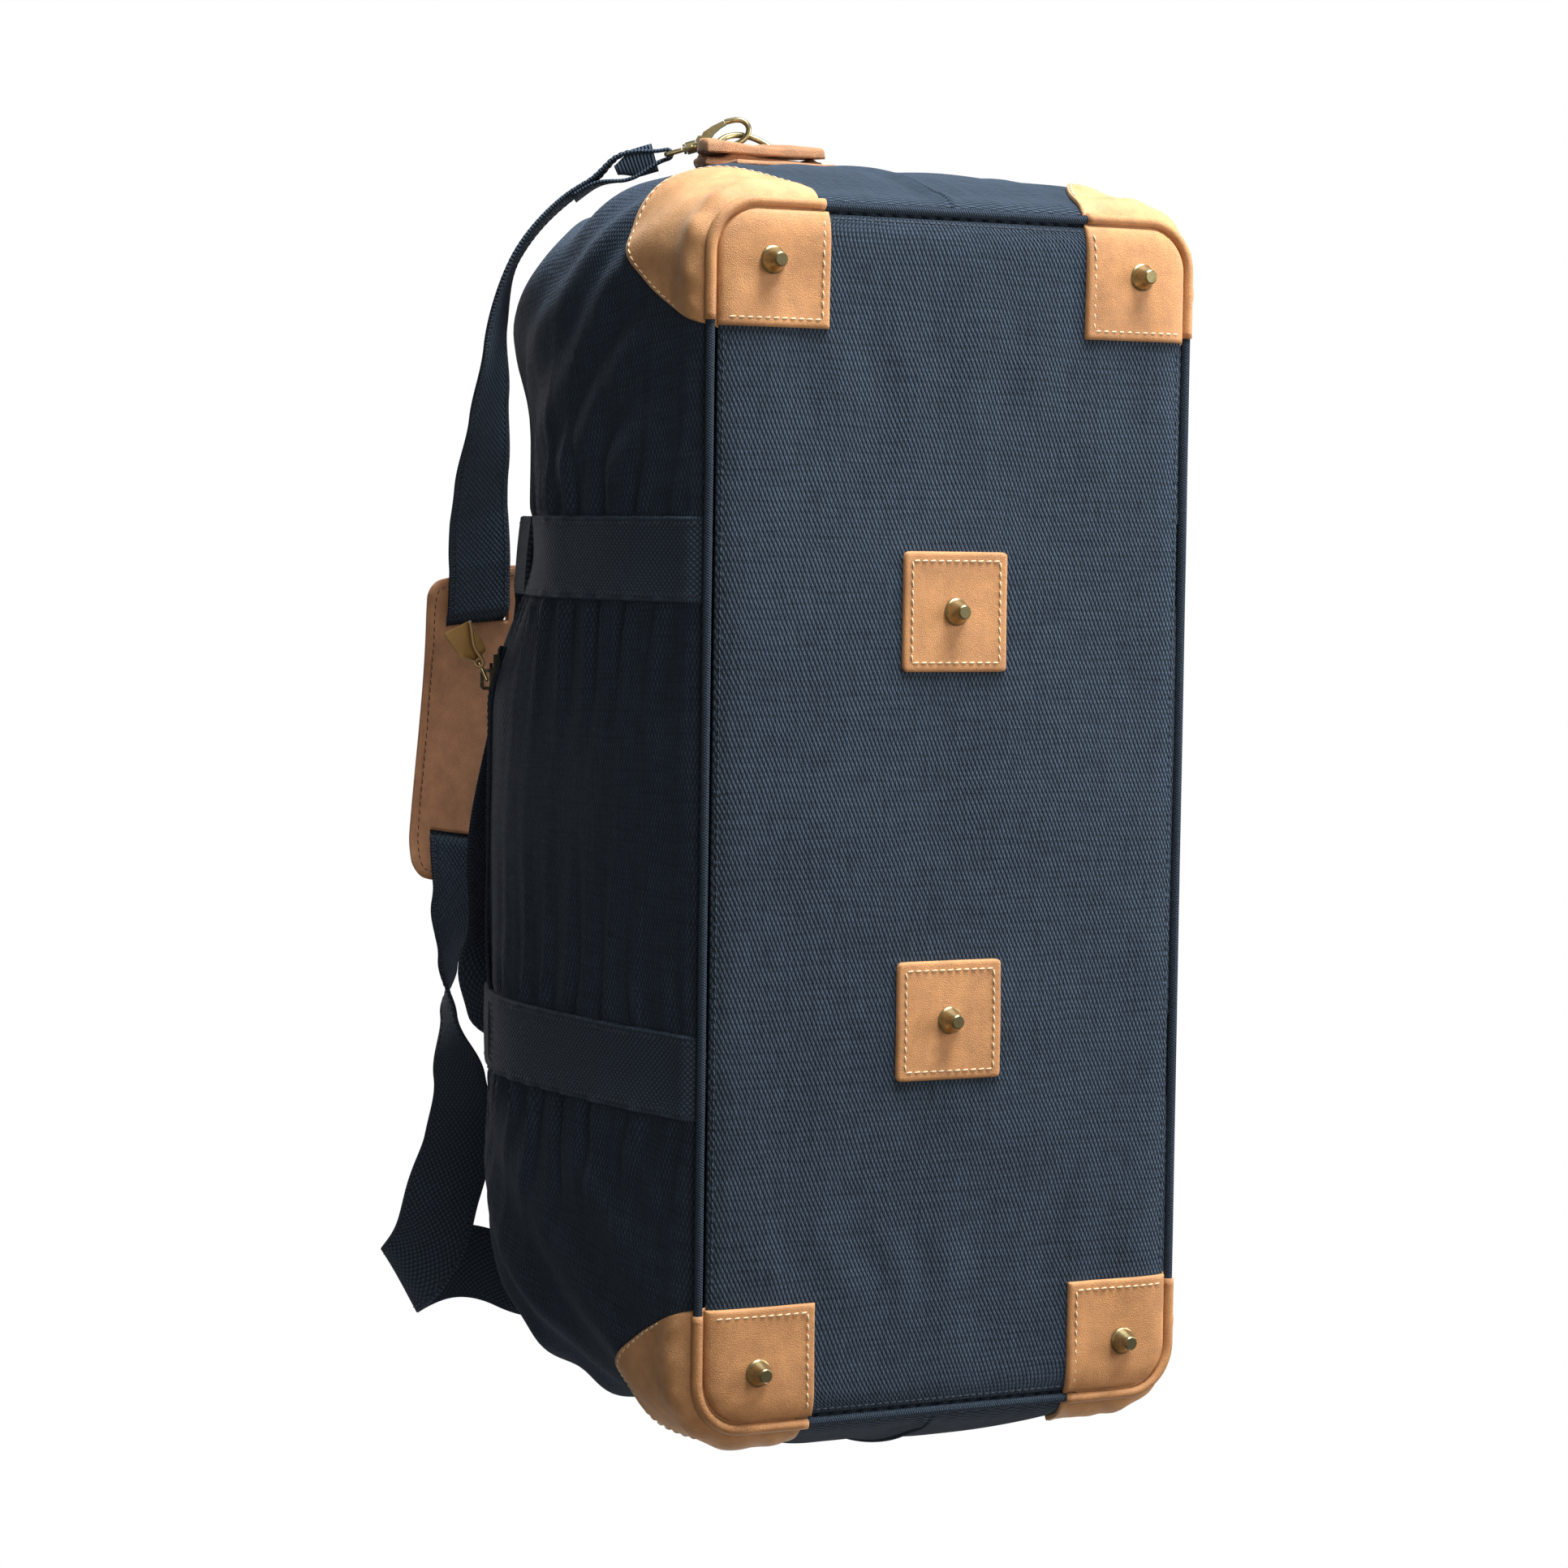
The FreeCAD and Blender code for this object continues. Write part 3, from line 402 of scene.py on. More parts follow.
def ribbon_stations(knots, spacing=2.0):
    """Centres, width directions and travel directions along a strap through (centre, width) knots."""
    points = np.array([tuple(k[0]) for k in knots], float)
    across = unit(np.array([tuple(k[1]) for k in knots], float))
    chord = arc(points)
    t = np.linspace(0, chord[-1], int(chord[-1] / spacing) + 1)
    centre = spline(chord, points)(t)
    travel = unit(np.gradient(centre, axis=0))
    k = np.clip(np.searchsorted(chord, t, side="right") - 1, 0, len(chord) - 2)
    f = smooth((t - chord[k]) / (chord[k + 1] - chord[k]), 0, 1)[:, None]
    return centre, square_to(across[k] * (1 - f) + across[k + 1] * f, travel), travel


STRIP_POINTS, STRIP_EDGE = 9, 0.7
TUBE_SIDES = 12
STITCH_RINGS, STITCH_SIDES, STITCH_SLANT = 5, 6, 0.12


def strip(name, centre, side, travel, width, thickness, material, cup=0.0):
    """A strap of webbing or leather with softly rounded edges; cup bows it across its width."""
    face = np.cross(side, travel)[:, None]
    u = with_edges(-width / 2, width / 2, STRIP_POINTS, STRIP_EDGE)
    half = edge_lift(len(u), 0.5) * np.broadcast_to(thickness, len(centre))[:, None]
    bow = cup * (1 - (2 * u / width) ** 2)
    middle = centre[:, None] + side[:, None] * u[:, None]
    top = middle + face * (half + bow)[..., None]
    bottom = middle - face * (half - bow)[..., None]
    uv = np.stack(np.meshgrid(u, arc(centre)), -1)
    ring = np.concatenate([top, bottom[:, ::-1]], axis=1)
    ring_uv = np.concatenate([uv, uv[:, ::-1]], axis=1)
    faces = [quad[::-1] for quad in capped_rings(len(centre), 2 * len(u))]
    return mesh_object(name, ring.reshape(-1, 3), faces, material, ring_uv.reshape(-1, 2))


def tube(name, points, radius, material):
    """A round roll along a smooth path, with a radius at each point."""
    travel = unit(np.gradient(points, axis=0))
    side = unit(np.cross(travel, (0.3, 0.2, 1.0)))
    up = np.cross(side, travel)
    a = np.linspace(0, TURN, TUBE_SIDES, endpoint=False)
    spokes = side[:, None] * np.cos(a)[:, None] + up[:, None] * np.sin(a)[:, None]
    ring = points[:, None] + radius[:, None, None] * spokes
    uv = np.stack(np.meshgrid(a * radius.max(), arc(points)), -1).reshape(-1, 2)
    return mesh_object(name, ring.reshape(-1, 3), capped_rings(len(points), TUBE_SIDES), material, uv)


def resample(path, normals, pitch):
    """Points, directions and normals every pitch mm along a polyline."""
    look = 0.8
    length = arc(path)
    count = max(2, int(length[-1] / pitch))
    s = (np.arange(count) + 0.5) * length[-1] / count
    along = unit(read(s + look, length, path) - read(s - look, length, path))
    return read(s, length, path), along, unit(read(s, length, normals))


def stitches(name, runs, material, pitch=4.1, length=3.1, radius=0.42):
    """One mesh of thread stitches along runs of (path, normals), each a small bowed capsule."""
    verts, faces = [], []
    for path, normals in runs:
        for at, along, up in zip(*resample(path, normals, pitch)):
            along = unit(along + np.cross(up, along) * STITCH_SLANT)
            cross = np.cross(up, along)
            faces += capped_rings(STITCH_RINGS, STITCH_SIDES, len(verts))
            for s in np.linspace(-1, 1, STITCH_RINGS):
                fat = radius * (0.35 + 0.65 * math.sqrt(max(0, 1 - s ** 4)))
                middle = at + along * (s * length / 2) + up * (radius * 0.55 * (1 - s * s) - radius * 0.25)
                for k in range(STITCH_SIDES):
                    a = TURN * k / STITCH_SIDES
                    verts.append(middle + cross * (fat * math.cos(a)) + up * (fat * 0.8 * math.sin(a)))
    return mesh_object(name, np.array(verts), faces, material)


def settle(obj, body, slot_name, *nodes):
    """Fixes a finished piece to its body and hides the CAD nodes it stands for."""
    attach(obj, body)
    if nodes:
        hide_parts(*nodes)


def sew(name, runs, thread, body, slot_name, **size):
    """Stitches that move with a body."""
    settle(stitches(name, runs, thread, **size), body, slot_name)


# ---------------------------------------------------------------- material nodes
class Nodes:
    """Builds one material; every method that makes a value returns its output socket."""

    def __init__(self, name):
        self.material = bpy.data.materials.new(name)
        self.material.use_nodes = True
        self.tree = self.material.node_tree
        self.bsdf = self.tree.nodes["Principled BSDF"]

    def put(self, target, value):
        """Links a socket or sets a number, vector or colour; None leaves the input alone."""
        if isinstance(value, bpy.types.NodeSocket):
            self.tree.links.new(value, target)
        elif value is not None:
            target.default_value = (*value, 1.0) if target.type == "RGBA" else value

    def node(self, kind, **inputs):
        node = self.tree.nodes.new(kind)
        for key, value in inputs.items():
            self.put(node.inputs[key], value)
        return node

    def math(self, operation, *values):
        node = self.tree.nodes.new("ShaderNodeMath")
        node.operation = operation
        for target, value in zip(node.inputs, values):
            self.put(target, value)
        return node.outputs[0]

    def add(self, a, b):
        return self.math("ADD", a, b)

    def sub(self, a, b):
        return self.math("SUBTRACT", a, b)

    def mul(self, a, b):
        return self.math("MULTIPLY", a, b)

    def size(self, x):
        return self.math("ABSOLUTE", x)

    def wave(self, x):
        """Size of sin(pi x): one hump per unit of x."""
        return self.size(self.math("SINE", self.mul(x, math.pi)))

    def uv(self):
        split = self.node("ShaderNodeSeparateXYZ", Vector=self.node("ShaderNodeUVMap").outputs[0])
        return split.outputs[0], split.outputs[1]

    def place(self):
        """Position in mm."""
        node = self.node("ShaderNodeVectorMath", Vector=self.node("ShaderNodeTexCoord").outputs["Object"])
        node.operation = "SCALE"
        node.inputs["Scale"].default_value = 1 / MM
        return node.outputs[0]

    def noise(self, vector, scale, detail=3.0, roughness=0.55):
        inputs = {"Vector": vector, "Scale": scale, "Detail": detail, "Roughness": roughness}
        return self.node("ShaderNodeTexNoise", **inputs).outputs[0]

    def vector(self, x, y, z=0.0):
        return self.node("ShaderNodeCombineXYZ", X=x, Y=y, Z=z).outputs[0]

    def remap(self, value, low, high, to_low=0.0, to_high=1.0):
        node = self.tree.nodes.new("ShaderNodeMapRange")
        for target, v in zip(node.inputs, (value, low, high, to_low, to_high)):
            self.put(target, v)
        return node.outputs[0]

    def mix(self, factor, first, second):
        node = self.tree.nodes.new("ShaderNodeMix")
        node.data_type = "RGBA"
        factor_input, first_input, second_input = (node.inputs[k] for k in (0, 6, 7))
        self.put(factor_input, factor)
        self.put(first_input, first)
        self.put(second_input, second)
        return node.outputs[2]

    def bump(self, height, distance_mm, strength=1.0, under=None):
        inputs = {"Height": height, "Strength": strength, "Distance": distance_mm * MM, "Normal": under}
        return self.node("ShaderNodeBump", **inputs).outputs[0]

    def finish(self, color, roughness, normal, **more):
        inputs = {"Base Color": color, "Roughness": roughness, "Normal": normal}
        inputs.update({key.replace("_", " "): value for key, value in more.items()})
        for key, value in inputs.items():
            self.put(self.bsdf.inputs[key], value)
        return self.material


def pebbles(n, u, v, row, step):
    """Height of a close weave: raised knuckles in staggered rows, row mm apart, step mm apart along a row."""
    roundness = 0.62
    along, over = n.mul(u, 0.5 / row), n.mul(v, 1.0 / step)
    knuckle = n.mul(n.wave(n.add(along, over)), n.wave(n.sub(along, over)))
    return n.math("POWER", knuckle, roundness)


def canvas_material(name, dark, light, row=2.25, step=2.05):
    """Heavy plain-weave canvas with uneven yarns."""
    n = Nodes(name)
    u, v = n.uv()
    wander = n.noise(n.vector(n.mul(u, 0.02), n.mul(v, 0.02)), 1.0, 2.0)
    u2 = n.add(u, n.mul(wander, 3.0))
    v2 = n.add(v, n.mul(wander, 2.2))
    height = pebbles(n, u2, v2, row, step)
    slub_u = n.noise(n.vector(n.mul(u, 0.05), n.mul(v2, 1 / step)), 1.0, 2.0)
    slub_v = n.noise(n.vector(n.mul(u2, 1 / row), n.mul(v, 0.05), 7.0), 1.0, 2.0)
    slub = n.remap(n.add(slub_u, slub_v), 0.72, 1.28)
    height = n.mul(height, n.remap(slub, 0, 1, 0.7, 1.15))
    fade = n.remap(n.noise(n.place(), 0.012, 4.0), 0.3, 0.7)
    tone = n.add(n.mul(height, 0.72), n.add(n.mul(slub, 0.18), n.mul(fade, 0.14)))
    fuzz = n.noise(n.place(), 1.9, 2.0)
    return n.finish(n.mix(tone, dark, light), 0.88, n.bump(fuzz, 0.12, 0.4, n.bump(height, 1.0)),
                    Sheen_Weight=0.14, Sheen_Roughness=0.4, Sheen_Tint=(0.5, 0.68, 1.0),
                    Specular_IOR_Level=0.18)


def webbing_material(name, dark, light):
    """Heavy webbing: a pebbled weave between two ribbed selvedges, with a groove under the edge stitching."""
    knuckle_row, knuckle_step = 1.35, 3.2
    selvedge, groove_in, groove_half = 1.9, 3.4, 0.4
    n = Nodes(name)
    u, v = n.uv()
    knuckles = pebbles(n, u, v, knuckle_row, knuckle_step)
    rib = n.mul(n.wave(n.mul(v, 1 / 1.6)), n.remap(n.wave(n.mul(u, 1 / 1.9)), 0, 1, 0.55, 1.0))
    from_edge = n.sub(WEB_W / 2, n.size(u))
    is_edge = n.math("LESS_THAN", from_edge, selvedge)
    height = n.add(n.mul(rib, is_edge), n.mul(knuckles, n.sub(1.0, is_edge)))
    height = n.mul(height, n.remap(n.size(n.sub(from_edge, groove_in)), 0, groove_half, 0.45, 1.0))
    yarn = n.noise(n.vector(n.mul(u, 1.4), n.mul(v, 0.25)), 1.0, 2.0)
    fade = n.noise(n.place(), 0.02, 3.0)
    tone = n.add(n.mul(height, 0.66), n.add(n.mul(yarn, 0.22), n.mul(fade, 0.12)))
    fuzz = n.noise(n.place(), 2.4, 2.0)
    return n.finish(n.mix(tone, dark, light), 0.84, n.bump(fuzz, 0.1, 0.4, n.bump(height, 1.0)),
                    Sheen_Weight=0.12, Sheen_Roughness=0.4, Sheen_Tint=(0.6, 0.74, 1.0),
                    Specular_IOR_Level=0.2)


def leather_material(name, dark, light, rough=0.62, depth=0.16):
    """Fine-grained leather with mottled dye, soft creases and faint scuffs."""
    n = Nodes(name)
    p = n.place()
    cells = n.node("ShaderNodeTexVoronoi", Vector=p, Scale=1.15)
    cells.feature = "DISTANCE_TO_EDGE"
    pebble = n.remap(cells.outputs["Distance"], 0.0, 0.28)
    pores = n.noise(p, 2.6, 3.0, 0.65)
    mottle = n.remap(n.noise(p, 0.035, 5.0, 0.6), 0.30, 0.70)
    cloud = n.remap(n.noise(p, 0.13, 4.0, 0.6), 0.35, 0.65)
    crease = n.remap(n.size(n.sub(n.noise(p, 0.06, 5.0, 0.7), 0.5)), 0.0, 0.012)
    fine_tone = n.add(n.mul(pebble, 0.12), n.mul(pores, 0.34))
    tone = n.add(n.mul(mottle, 0.40), n.add(n.mul(cloud, 0.24), fine_tone))
    tone = n.mul(tone, n.remap(crease, 0, 1, 0.86, 1.0))
    normal = n.bump(crease, 0.12, 0.4, n.bump(pores, 0.10, 0.5, n.bump(pebble, depth, 0.6)))
    shine = n.remap(cloud, 0, 1, rough - 0.06, rough + 0.10)
    return n.finish(n.mix(tone, dark, light), shine, normal,
                    Sheen_Weight=0.12, Sheen_Roughness=0.5, Sheen_Tint=(1.0, 0.85, 0.65),
                    Specular_IOR_Level=0.38)


def brass_material(name, base, patina, rough=0.27):
    """Antiqued brass: darker in patches, finely brushed."""
    n = Nodes(name)
    p = n.place()
    patch = n.remap(n.noise(p, 0.22, 5.0, 0.65), 0.38, 0.68)
    specks = n.remap(n.noise(p, 1.6, 3.0, 0.7), 0.55, 0.75, 0.0, 0.6)
    scratch = n.noise(n.node("ShaderNodeMapping", Vector=p, Scale=(0.2, 0.35, 3.2)).outputs[0], 1.0, 3.0)
    wear = n.math("MINIMUM", n.add(n.mul(patch, 0.75), specks), 1.0)
    shine = n.remap(wear, 0, 1, rough, rough + 0.22)
    return n.finish(n.mix(wear, base, patina), shine, n.bump(scratch, 0.02, 0.35), Metallic=1.0)


def thread_material(name, dark, light):
    n = Nodes(name)
    p = n.place()
    ply = n.wave(n.noise(p, 1.1, 2.0))
    return n.finish(n.mix(n.noise(p, 0.5), dark, light), 0.7, n.bump(ply, 0.12, 0.6),
                    Sheen_Weight=0.2, Specular_IOR_Level=0.3)


def suede_material(name, dark, light):
    """Raw cut edges and flesh sides of leather."""
    n = Nodes(name)
    p = n.place()
    nap = n.noise(p, 1.5, 4.0, 0.7)
    tone = n.add(n.mul(nap, 0.6), n.mul(n.noise(p, 0.12), 0.5))
    return n.finish(n.mix(tone, dark, light), 0.92, n.bump(nap, 0.16, 0.7), Sheen_Weight=0.3)


def plain_cloth_material(name, dark, light):
    """Fine twill for tapes and lining, laid out by position."""
    density = 0.7 / 0.8
    n = Nodes(name)
    x, y, z = n.node("ShaderNodeSeparateXYZ", Vector=n.place()).outputs
    line = n.wave(n.mul(n.add(n.add(x, n.mul(y, 0.9)), n.mul(z, 1.1)), density))
    cross_line = n.wave(n.mul(n.add(n.mul(x, 0.3), n.add(n.mul(y, -1.1), z)), density))
    height = n.mul(line, n.remap(cross_line, 0, 1, 0.7, 1.0))
    tone = n.add(n.mul(height, 0.5), n.mul(n.noise(n.place(), 0.4), 0.6))
    return n.finish(n.mix(tone, dark, light), 0.85, n.bump(height, 0.15), Sheen_Weight=0.2)


CANVAS = canvas_material("navy_canvas", (0.0030, 0.0044, 0.0062), (0.048, 0.067, 0.091))
CANVAS_EDGE = canvas_material("navy_canvas_edge", (0.0095, 0.013, 0.018), (0.040, 0.055, 0.075), 1.2, 1.2)
WEBBING = webbing_material("navy_webbing", (0.0060, 0.0084, 0.0118), (0.076, 0.104, 0.140))
TAN = leather_material("tan_leather", (0.28, 0.115, 0.038), (0.70, 0.318, 0.115))
# lighter copy of the tan leather for the corner wings: painted light, standing in for the light the wings
# catch
PAINTED_LIGHT_TAN = leather_material("tan_leather_painted_light", (0.37, 0.160, 0.058), (0.82, 0.405, 0.165))
CREASED_TAN = leather_material("creased_tan_leather", (0.17, 0.072, 0.030), (0.58, 0.270, 0.115), depth=0.3)
BROWN = leather_material("pad_leather", (0.31, 0.128, 0.056), (0.78, 0.36, 0.172), rough=0.55)
GOLD_HIDE = leather_material("pull_leather", (0.22, 0.105, 0.022), (0.50, 0.27, 0.075), rough=0.6)
RAW_EDGE = suede_material("raw_leather_edge", (0.45, 0.29, 0.13), (0.78, 0.58, 0.33))
BRASS = brass_material("antique_brass", (0.46, 0.365, 0.18), (0.125, 0.098, 0.045))
ZIP_METAL = brass_material("zip_metal", (0.050, 0.044, 0.030), (0.016, 0.014, 0.010), 0.45)
CREAM = thread_material("cream_thread", (0.52, 0.36, 0.19), (0.86, 0.70, 0.47))
TONAL = thread_material("brown_thread", (0.10, 0.048, 0.022), (0.24, 0.12, 0.06))
NAVY_THREAD = thread_material("navy_thread", (0.012, 0.016, 0.022), (0.045, 0.055, 0.075))
TAPE = plain_cloth_material("zip_tape", (0.008, 0.010, 0.015), (0.030, 0.037, 0.050))
LINING = plain_cloth_material("lining_cloth", (0.20, 0.18, 0.15), (0.42, 0.38, 0.32))


# ---------------------------------------------------------------- canvas
CANVAS_T, PANEL_T = 2.0, 1.8
LINING_IN, LINING_T = 9.0, 0.8
BASE_INSET = 1.5
FINE_STITCH = {"pitch": 3.4, "length": 2.5, "radius": 0.3}
WEB_STITCH = {"pitch": 3.3, "length": 2.5}


def wall_rows(*marks):
    """Heights of the wall's mesh rows, close together at the base seam and at the marks."""
    rows = joined((SEAM_Z, SEAM_Z + 14, 262, WALL_TOP_Z), (8, 77, 21))
    for mark in marks:
        rows = rows[np.abs(rows - mark) > 1.0]
    return np.sort(np.concatenate([rows, marks]))


def build_shell(side, name):
    """Front or back wall from the base seam up to the top panel, with half of each end."""
    q = joined((0, 1, 2, 3), (77, 43, 33))
    marks = (POCKET_LOW, POCKET_HIGH) if side < 0 else ()
    t, z = np.meshgrid(np.concatenate([-q[:0:-1], q]), wall_rows(*marks))
    outer, inner = wall(t, z, 0.0, side), wall(t, z, -CANVAS_T, side)
    x = (outer[:-1, :-1, 0] + outer[1:, 1:, 0]) / 2
    height = (z[:-1, :-1] + z[1:, 1:]) / 2
    in_slot = (x > POCKET_ENDS[0]) & (x < POCKET_ENDS[1]) & (height > POCKET_LOW) & (height < POCKET_HIGH)
    keep = ~in_slot if side < 0 else None
    settle(sheet(name, outer, inner, CANVAS, side > 0, keep), "bag", "navy_canvas", name)


def build_pocket_welts():
    """Folded canvas lips above and below the pocket zip."""
    lap, width, thickness, stitch_in = 4.0, 6.5, 1.7, 2.0
    x = np.linspace(POCKET_ENDS[0] - lap, POCKET_ENDS[1] + lap, 90)
    for hand, height, inward in (("low", POCKET_LOW - 1.0, 1), ("high", POCKET_HIGH + 1.0, -1)):
        z = np.full_like(x, height)
        line = wall(wall_t(x, z), z, 0.7, -1)
        travel = unit(np.gradient(line, axis=0))
        across = square_to(facing(line, POCKET_UP), travel)
        welt = strip("pocket_welt_" + hand, line, across, travel, width, thickness, CANVAS_EDGE)
        settle(welt, "bag", "navy_canvas")
        out = unit(np.cross(travel, across))
        out = out * -np.sign(out[:, 1:2])
        run = (line - across * (stitch_in * inward) + out * thickness / 2, out)
        sew(f"pocket_welt_{hand}_stitches", [run], NAVY_THREAD, "bag", "navy_canvas", **FINE_STITCH)


def build_lining():
    """Light cloth hung inside the walls, with a flat floor over the base board."""
    t, z = np.meshgrid(np.linspace(-3, 3, 120), np.linspace(20.0, 286.0, 40))
    for side, hand in ((-1, "front"), (1, "back")):
        outer, inner = wall(t, z, -LINING_IN, side), wall(t, z, -LINING_IN - LINING_T, side)
        settle(sheet("lining_" + hand, outer, inner, LINING, side > 0), "bag", "lining_cloth", "lining")
    floor_z, half_length, clear = 20.5, 262.0, 6.0
    x, f = np.meshgrid(np.linspace(-half_length, half_length, 60), np.linspace(-1, 1, 24))
    y = f * (base_half_width(x, BASE_INSET) - clear)
    floor = np.stack([x, y, floor_z + 0.8 * value_noise(flat(x, y), 60.0, 57)], -1)
    lining = sheet("lining_floor", floor, floor + (0, 0, LINING_T), LINING, flip=True)
    settle(lining, "bag", "lining_cloth", "lining")


def build_pocket_bag():
    """Flat cloth bag hung behind the front pocket zip."""
    x, z = np.meshgrid(np.linspace(-94, 70, 60), np.linspace(118, 222, 40))
    outer, inner = (wall(wall_t(x, z), z, lift, -1) for lift in (-3.8, -7.0))
    settle(sheet("pocket_bag", outer, inner, LINING), "bag", "lining_cloth", "pocket_bag")


def top_height(x, y):
    """Height of the top panels, which sag a little towards the ends of the zip."""
    soft = 1.2 * value_noise(flat(x, y), 60.0, 41) * smooth(np.abs(y), 9, 20)
    return 295.4 + soft - 1.2 * smooth(np.abs(x), 190, 240)


def build_top_panel(side, name):
    """Canvas between the wall's top seam and the zip, turned under beside the teeth."""
    zip_y, turn_under = 9.0, 2.2
    t = np.linspace(2.93, -2.93, 240)
    x, rim_y, rim_z = wall(t, np.full_like(t, WALL_TOP_Z), 0.0, side).T
    f = with_edges(0.0, 1.0, 12, 0.02)[:, None]
    y = rim_y + (side * zip_y - rim_y) * f
    inside = smooth(f, 0, 0.35)
    z = rim_z * (1 - inside) + top_height(x + 0 * f, y) * inside - turn_under * smooth(f, 0.95, 1.0)
    outer = np.stack([x * (1 - 0.012 * f), y, z], -1)
    panel = sheet(name, outer, outer - (0, 0, PANEL_T), CANVAS, flip=side < 0)
    settle(panel, "bag", "navy_canvas", name)


def build_base():
    x, f = np.meshgrid(with_edges(-266.5, 266.5, 170, 1.0), with_edges(-1.0, 1.0, 84, 0.008))
    y = f * base_half_width(x, BASE_INSET)
    outer = np.stack([x, y, base_height(x, y)], -1)
    panel = sheet("bottom_panel", outer, outer + (0, 0, PANEL_T), CANVAS, flip=True)
    settle(panel, "bag", "navy_canvas", "bottom_panel")


def base_outline(inset):
    """Loop round the base seam, anticlockwise from above, starting on the +X side."""
    arc_points, spacing = 14, 3.0
    half_x, half_y, r = (size - inset for size in BASE_SEAM)
    centres = np.array([(1, 1), (-1, 1), (-1, -1), (1, -1)]) * (half_x - r, half_y - r)
    pieces = []
    for k, (centre, following) in enumerate(zip(centres, np.roll(centres, -1, 0))):
        angle = np.linspace(k, k + 1, arc_points)[:, None] * math.pi / 2
        bend = centre + r * np.hstack([np.cos(angle), np.sin(angle)])
        target = bend[-1] + following - centre
        steps = int(np.linalg.norm(following - centre) / spacing)
        pieces += [bend, np.linspace(bend[-1], target, steps + 1)[1:-1]]
    return np.concatenate(pieces)


def on_leather(path):
    """Whether each point of a path round the base lies where the corner leather is."""
    return (np.abs(path[:, 0]) > CORNER_X) & (np.abs(path[:, 1]) > CORNER_Y)


def runs_where(flags):
    """Index ranges over which flags is true."""
    edges = np.flatnonzero(np.diff(np.concatenate([[0], np.asarray(flags, int), [0]])))
    return list(zip(edges[::2], edges[1::2]))


def build_piping():
    """The ridge where the walls are turned into the base: canvas, and leather beads round the corners."""
    xy = base_outline(-0.2)
    first = int(np.argmax(~on_leather(xy) & on_leather(np.roll(xy, -1, 0)))) + 1
    xy = np.roll(xy, -first, 0)
    lap = 4                       # the last canvas run laps under the first leather bead
    under = 3                     # each canvas run goes on under the leather beside it
    xy = np.concatenate([xy, xy[:lap]])
    wave = 0.5 * value_noise(flat(*xy.T), 30.0, 51)
    points = np.c_[xy, SEAM_Z - 1.6 + 0.5 * wave]
    leather = on_leather(xy)
    leather[-lap:] = False
    for k, (start, stop) in enumerate(runs_where(~leather)):
        run = slice(max(start - under, 0), min(stop + under, len(xy)))
        piping = tube(f"base_piping_{k + 1}", points[run], 2.1 + 0.15 * wave[run], CANVAS_EDGE)
        settle(piping, "bag", "navy_canvas", "base_piping")
    for k, (start, stop) in enumerate(runs_where(leather)):
        path = points[start:stop] * (1.002, 1.002, 1.0) - (0, 0, 0.4)
        settle(tube(f"corner_bead_{k + 1}", path, 2.5 + 0.3 * wave[start:stop], TAN), "bag", "tan_leather")


def base_run(x, y, depth):
    """A line to sew under the base, depth mm below the canvas, as a path and its normals."""
    path = np.stack([x, y, base_height(x, y) - depth], -1)
    return path, facing(path, (0.0, 0.0, -1.0))


def build_base_topstitch():
    path, down = base_run(*base_outline(5.4).T, 0.1)
    runs = [(path[a:b], down[a:b]) for a, b in runs_where(~on_leather(path * 1.01)) if b - a > 3]
    sew("base_topstitch", runs, NAVY_THREAD, "bag", "navy_canvas", **FINE_STITCH)


# ---------------------------------------------------------------- leather on the base
PATCH_T = 1.9
PATCH_HALF = 27.0
PATCH_X = 92.0


def lay_on_base(name, x, y, puff, flip):
    """Leather with turned edges over the canvas of the base, puffed out by so many mm."""
    lift = rounded_lift(*x.shape, PATCH_T)
    surface = base_height(x, y)
    outer = np.stack([x, y, surface - lift - puff * smooth(lift, 0.5, PATCH_T)], -1)
    inner = np.stack([x, y, surface + 0.3], -1)
    settle(sheet(name, outer, inner, TAN, flip), "bag", "tan_leather", name)


def build_corner_patch(sx, sy, name):
    """Square of leather over a base corner, with stitching along its two straight sides."""
    outer_x, edge_in, stitch_from, stitch_to = 267.6, 0.6, 0.075, 0.93

    def point(u, v):
        x = CORNER_X + u * (outer_x - CORNER_X)
        y = CORNER_Y + v * (base_half_width(x, edge_in) - CORNER_Y)
        return x * sx, y * sy

    u = with_edges(0, 1, 26, 0.02)
    x, y = point(*np.meshgrid(u, u))
    lay_on_base(name, x, y, 0.5 * value_noise(flat(x, y), 26.0, 61), sx * sy > 0)
    s = np.linspace(stitch_from, stitch_to, 40)
    fixed = np.full_like(s, stitch_from)
    runs = [base_run(*point(*line), 2.0) for line in ((s, fixed), (fixed, s))]
    sew(name + "_stitches", runs, CREAM, "bag", "tan_leather")


def build_centre_patch(sx, name):
    """Square of leather with rounded corners round a middle stud, stitched all round."""
    middle, radius, stitch_in = sx * PATCH_X, 3.0, 4.2
    u = with_edges(-PATCH_HALF, PATCH_HALF, 24, 1.0)
    x, y = np.meshgrid(u, u)
    past_x, past_y = (np.maximum(np.abs(d) - PATCH_HALF + radius, 0) for d in (x, y))
    cut = 1 - radius / np.maximum(np.hypot(past_x, past_y), radius)
    x = middle + x - np.sign(x) * past_x * cut
    y = y - np.sign(y) * past_y * cut
    lay_on_base(name, x, y, 0.35 * value_noise(flat(x, y), 22.0, 63), True)
    corners = np.array([(-1, -1), (1, -1), (1, 1), (-1, 1), (-1, -1)]) * (PATCH_HALF - stitch_in)
    sides = [np.linspace(a, b, 30).T for a, b in zip(corners, corners[1:])]
    runs = [base_run(middle + line_x, line_y, 2.05) for line_x, line_y in sides]
    sew(name + "_stitches", runs, CREAM, "bag", "tan_leather")


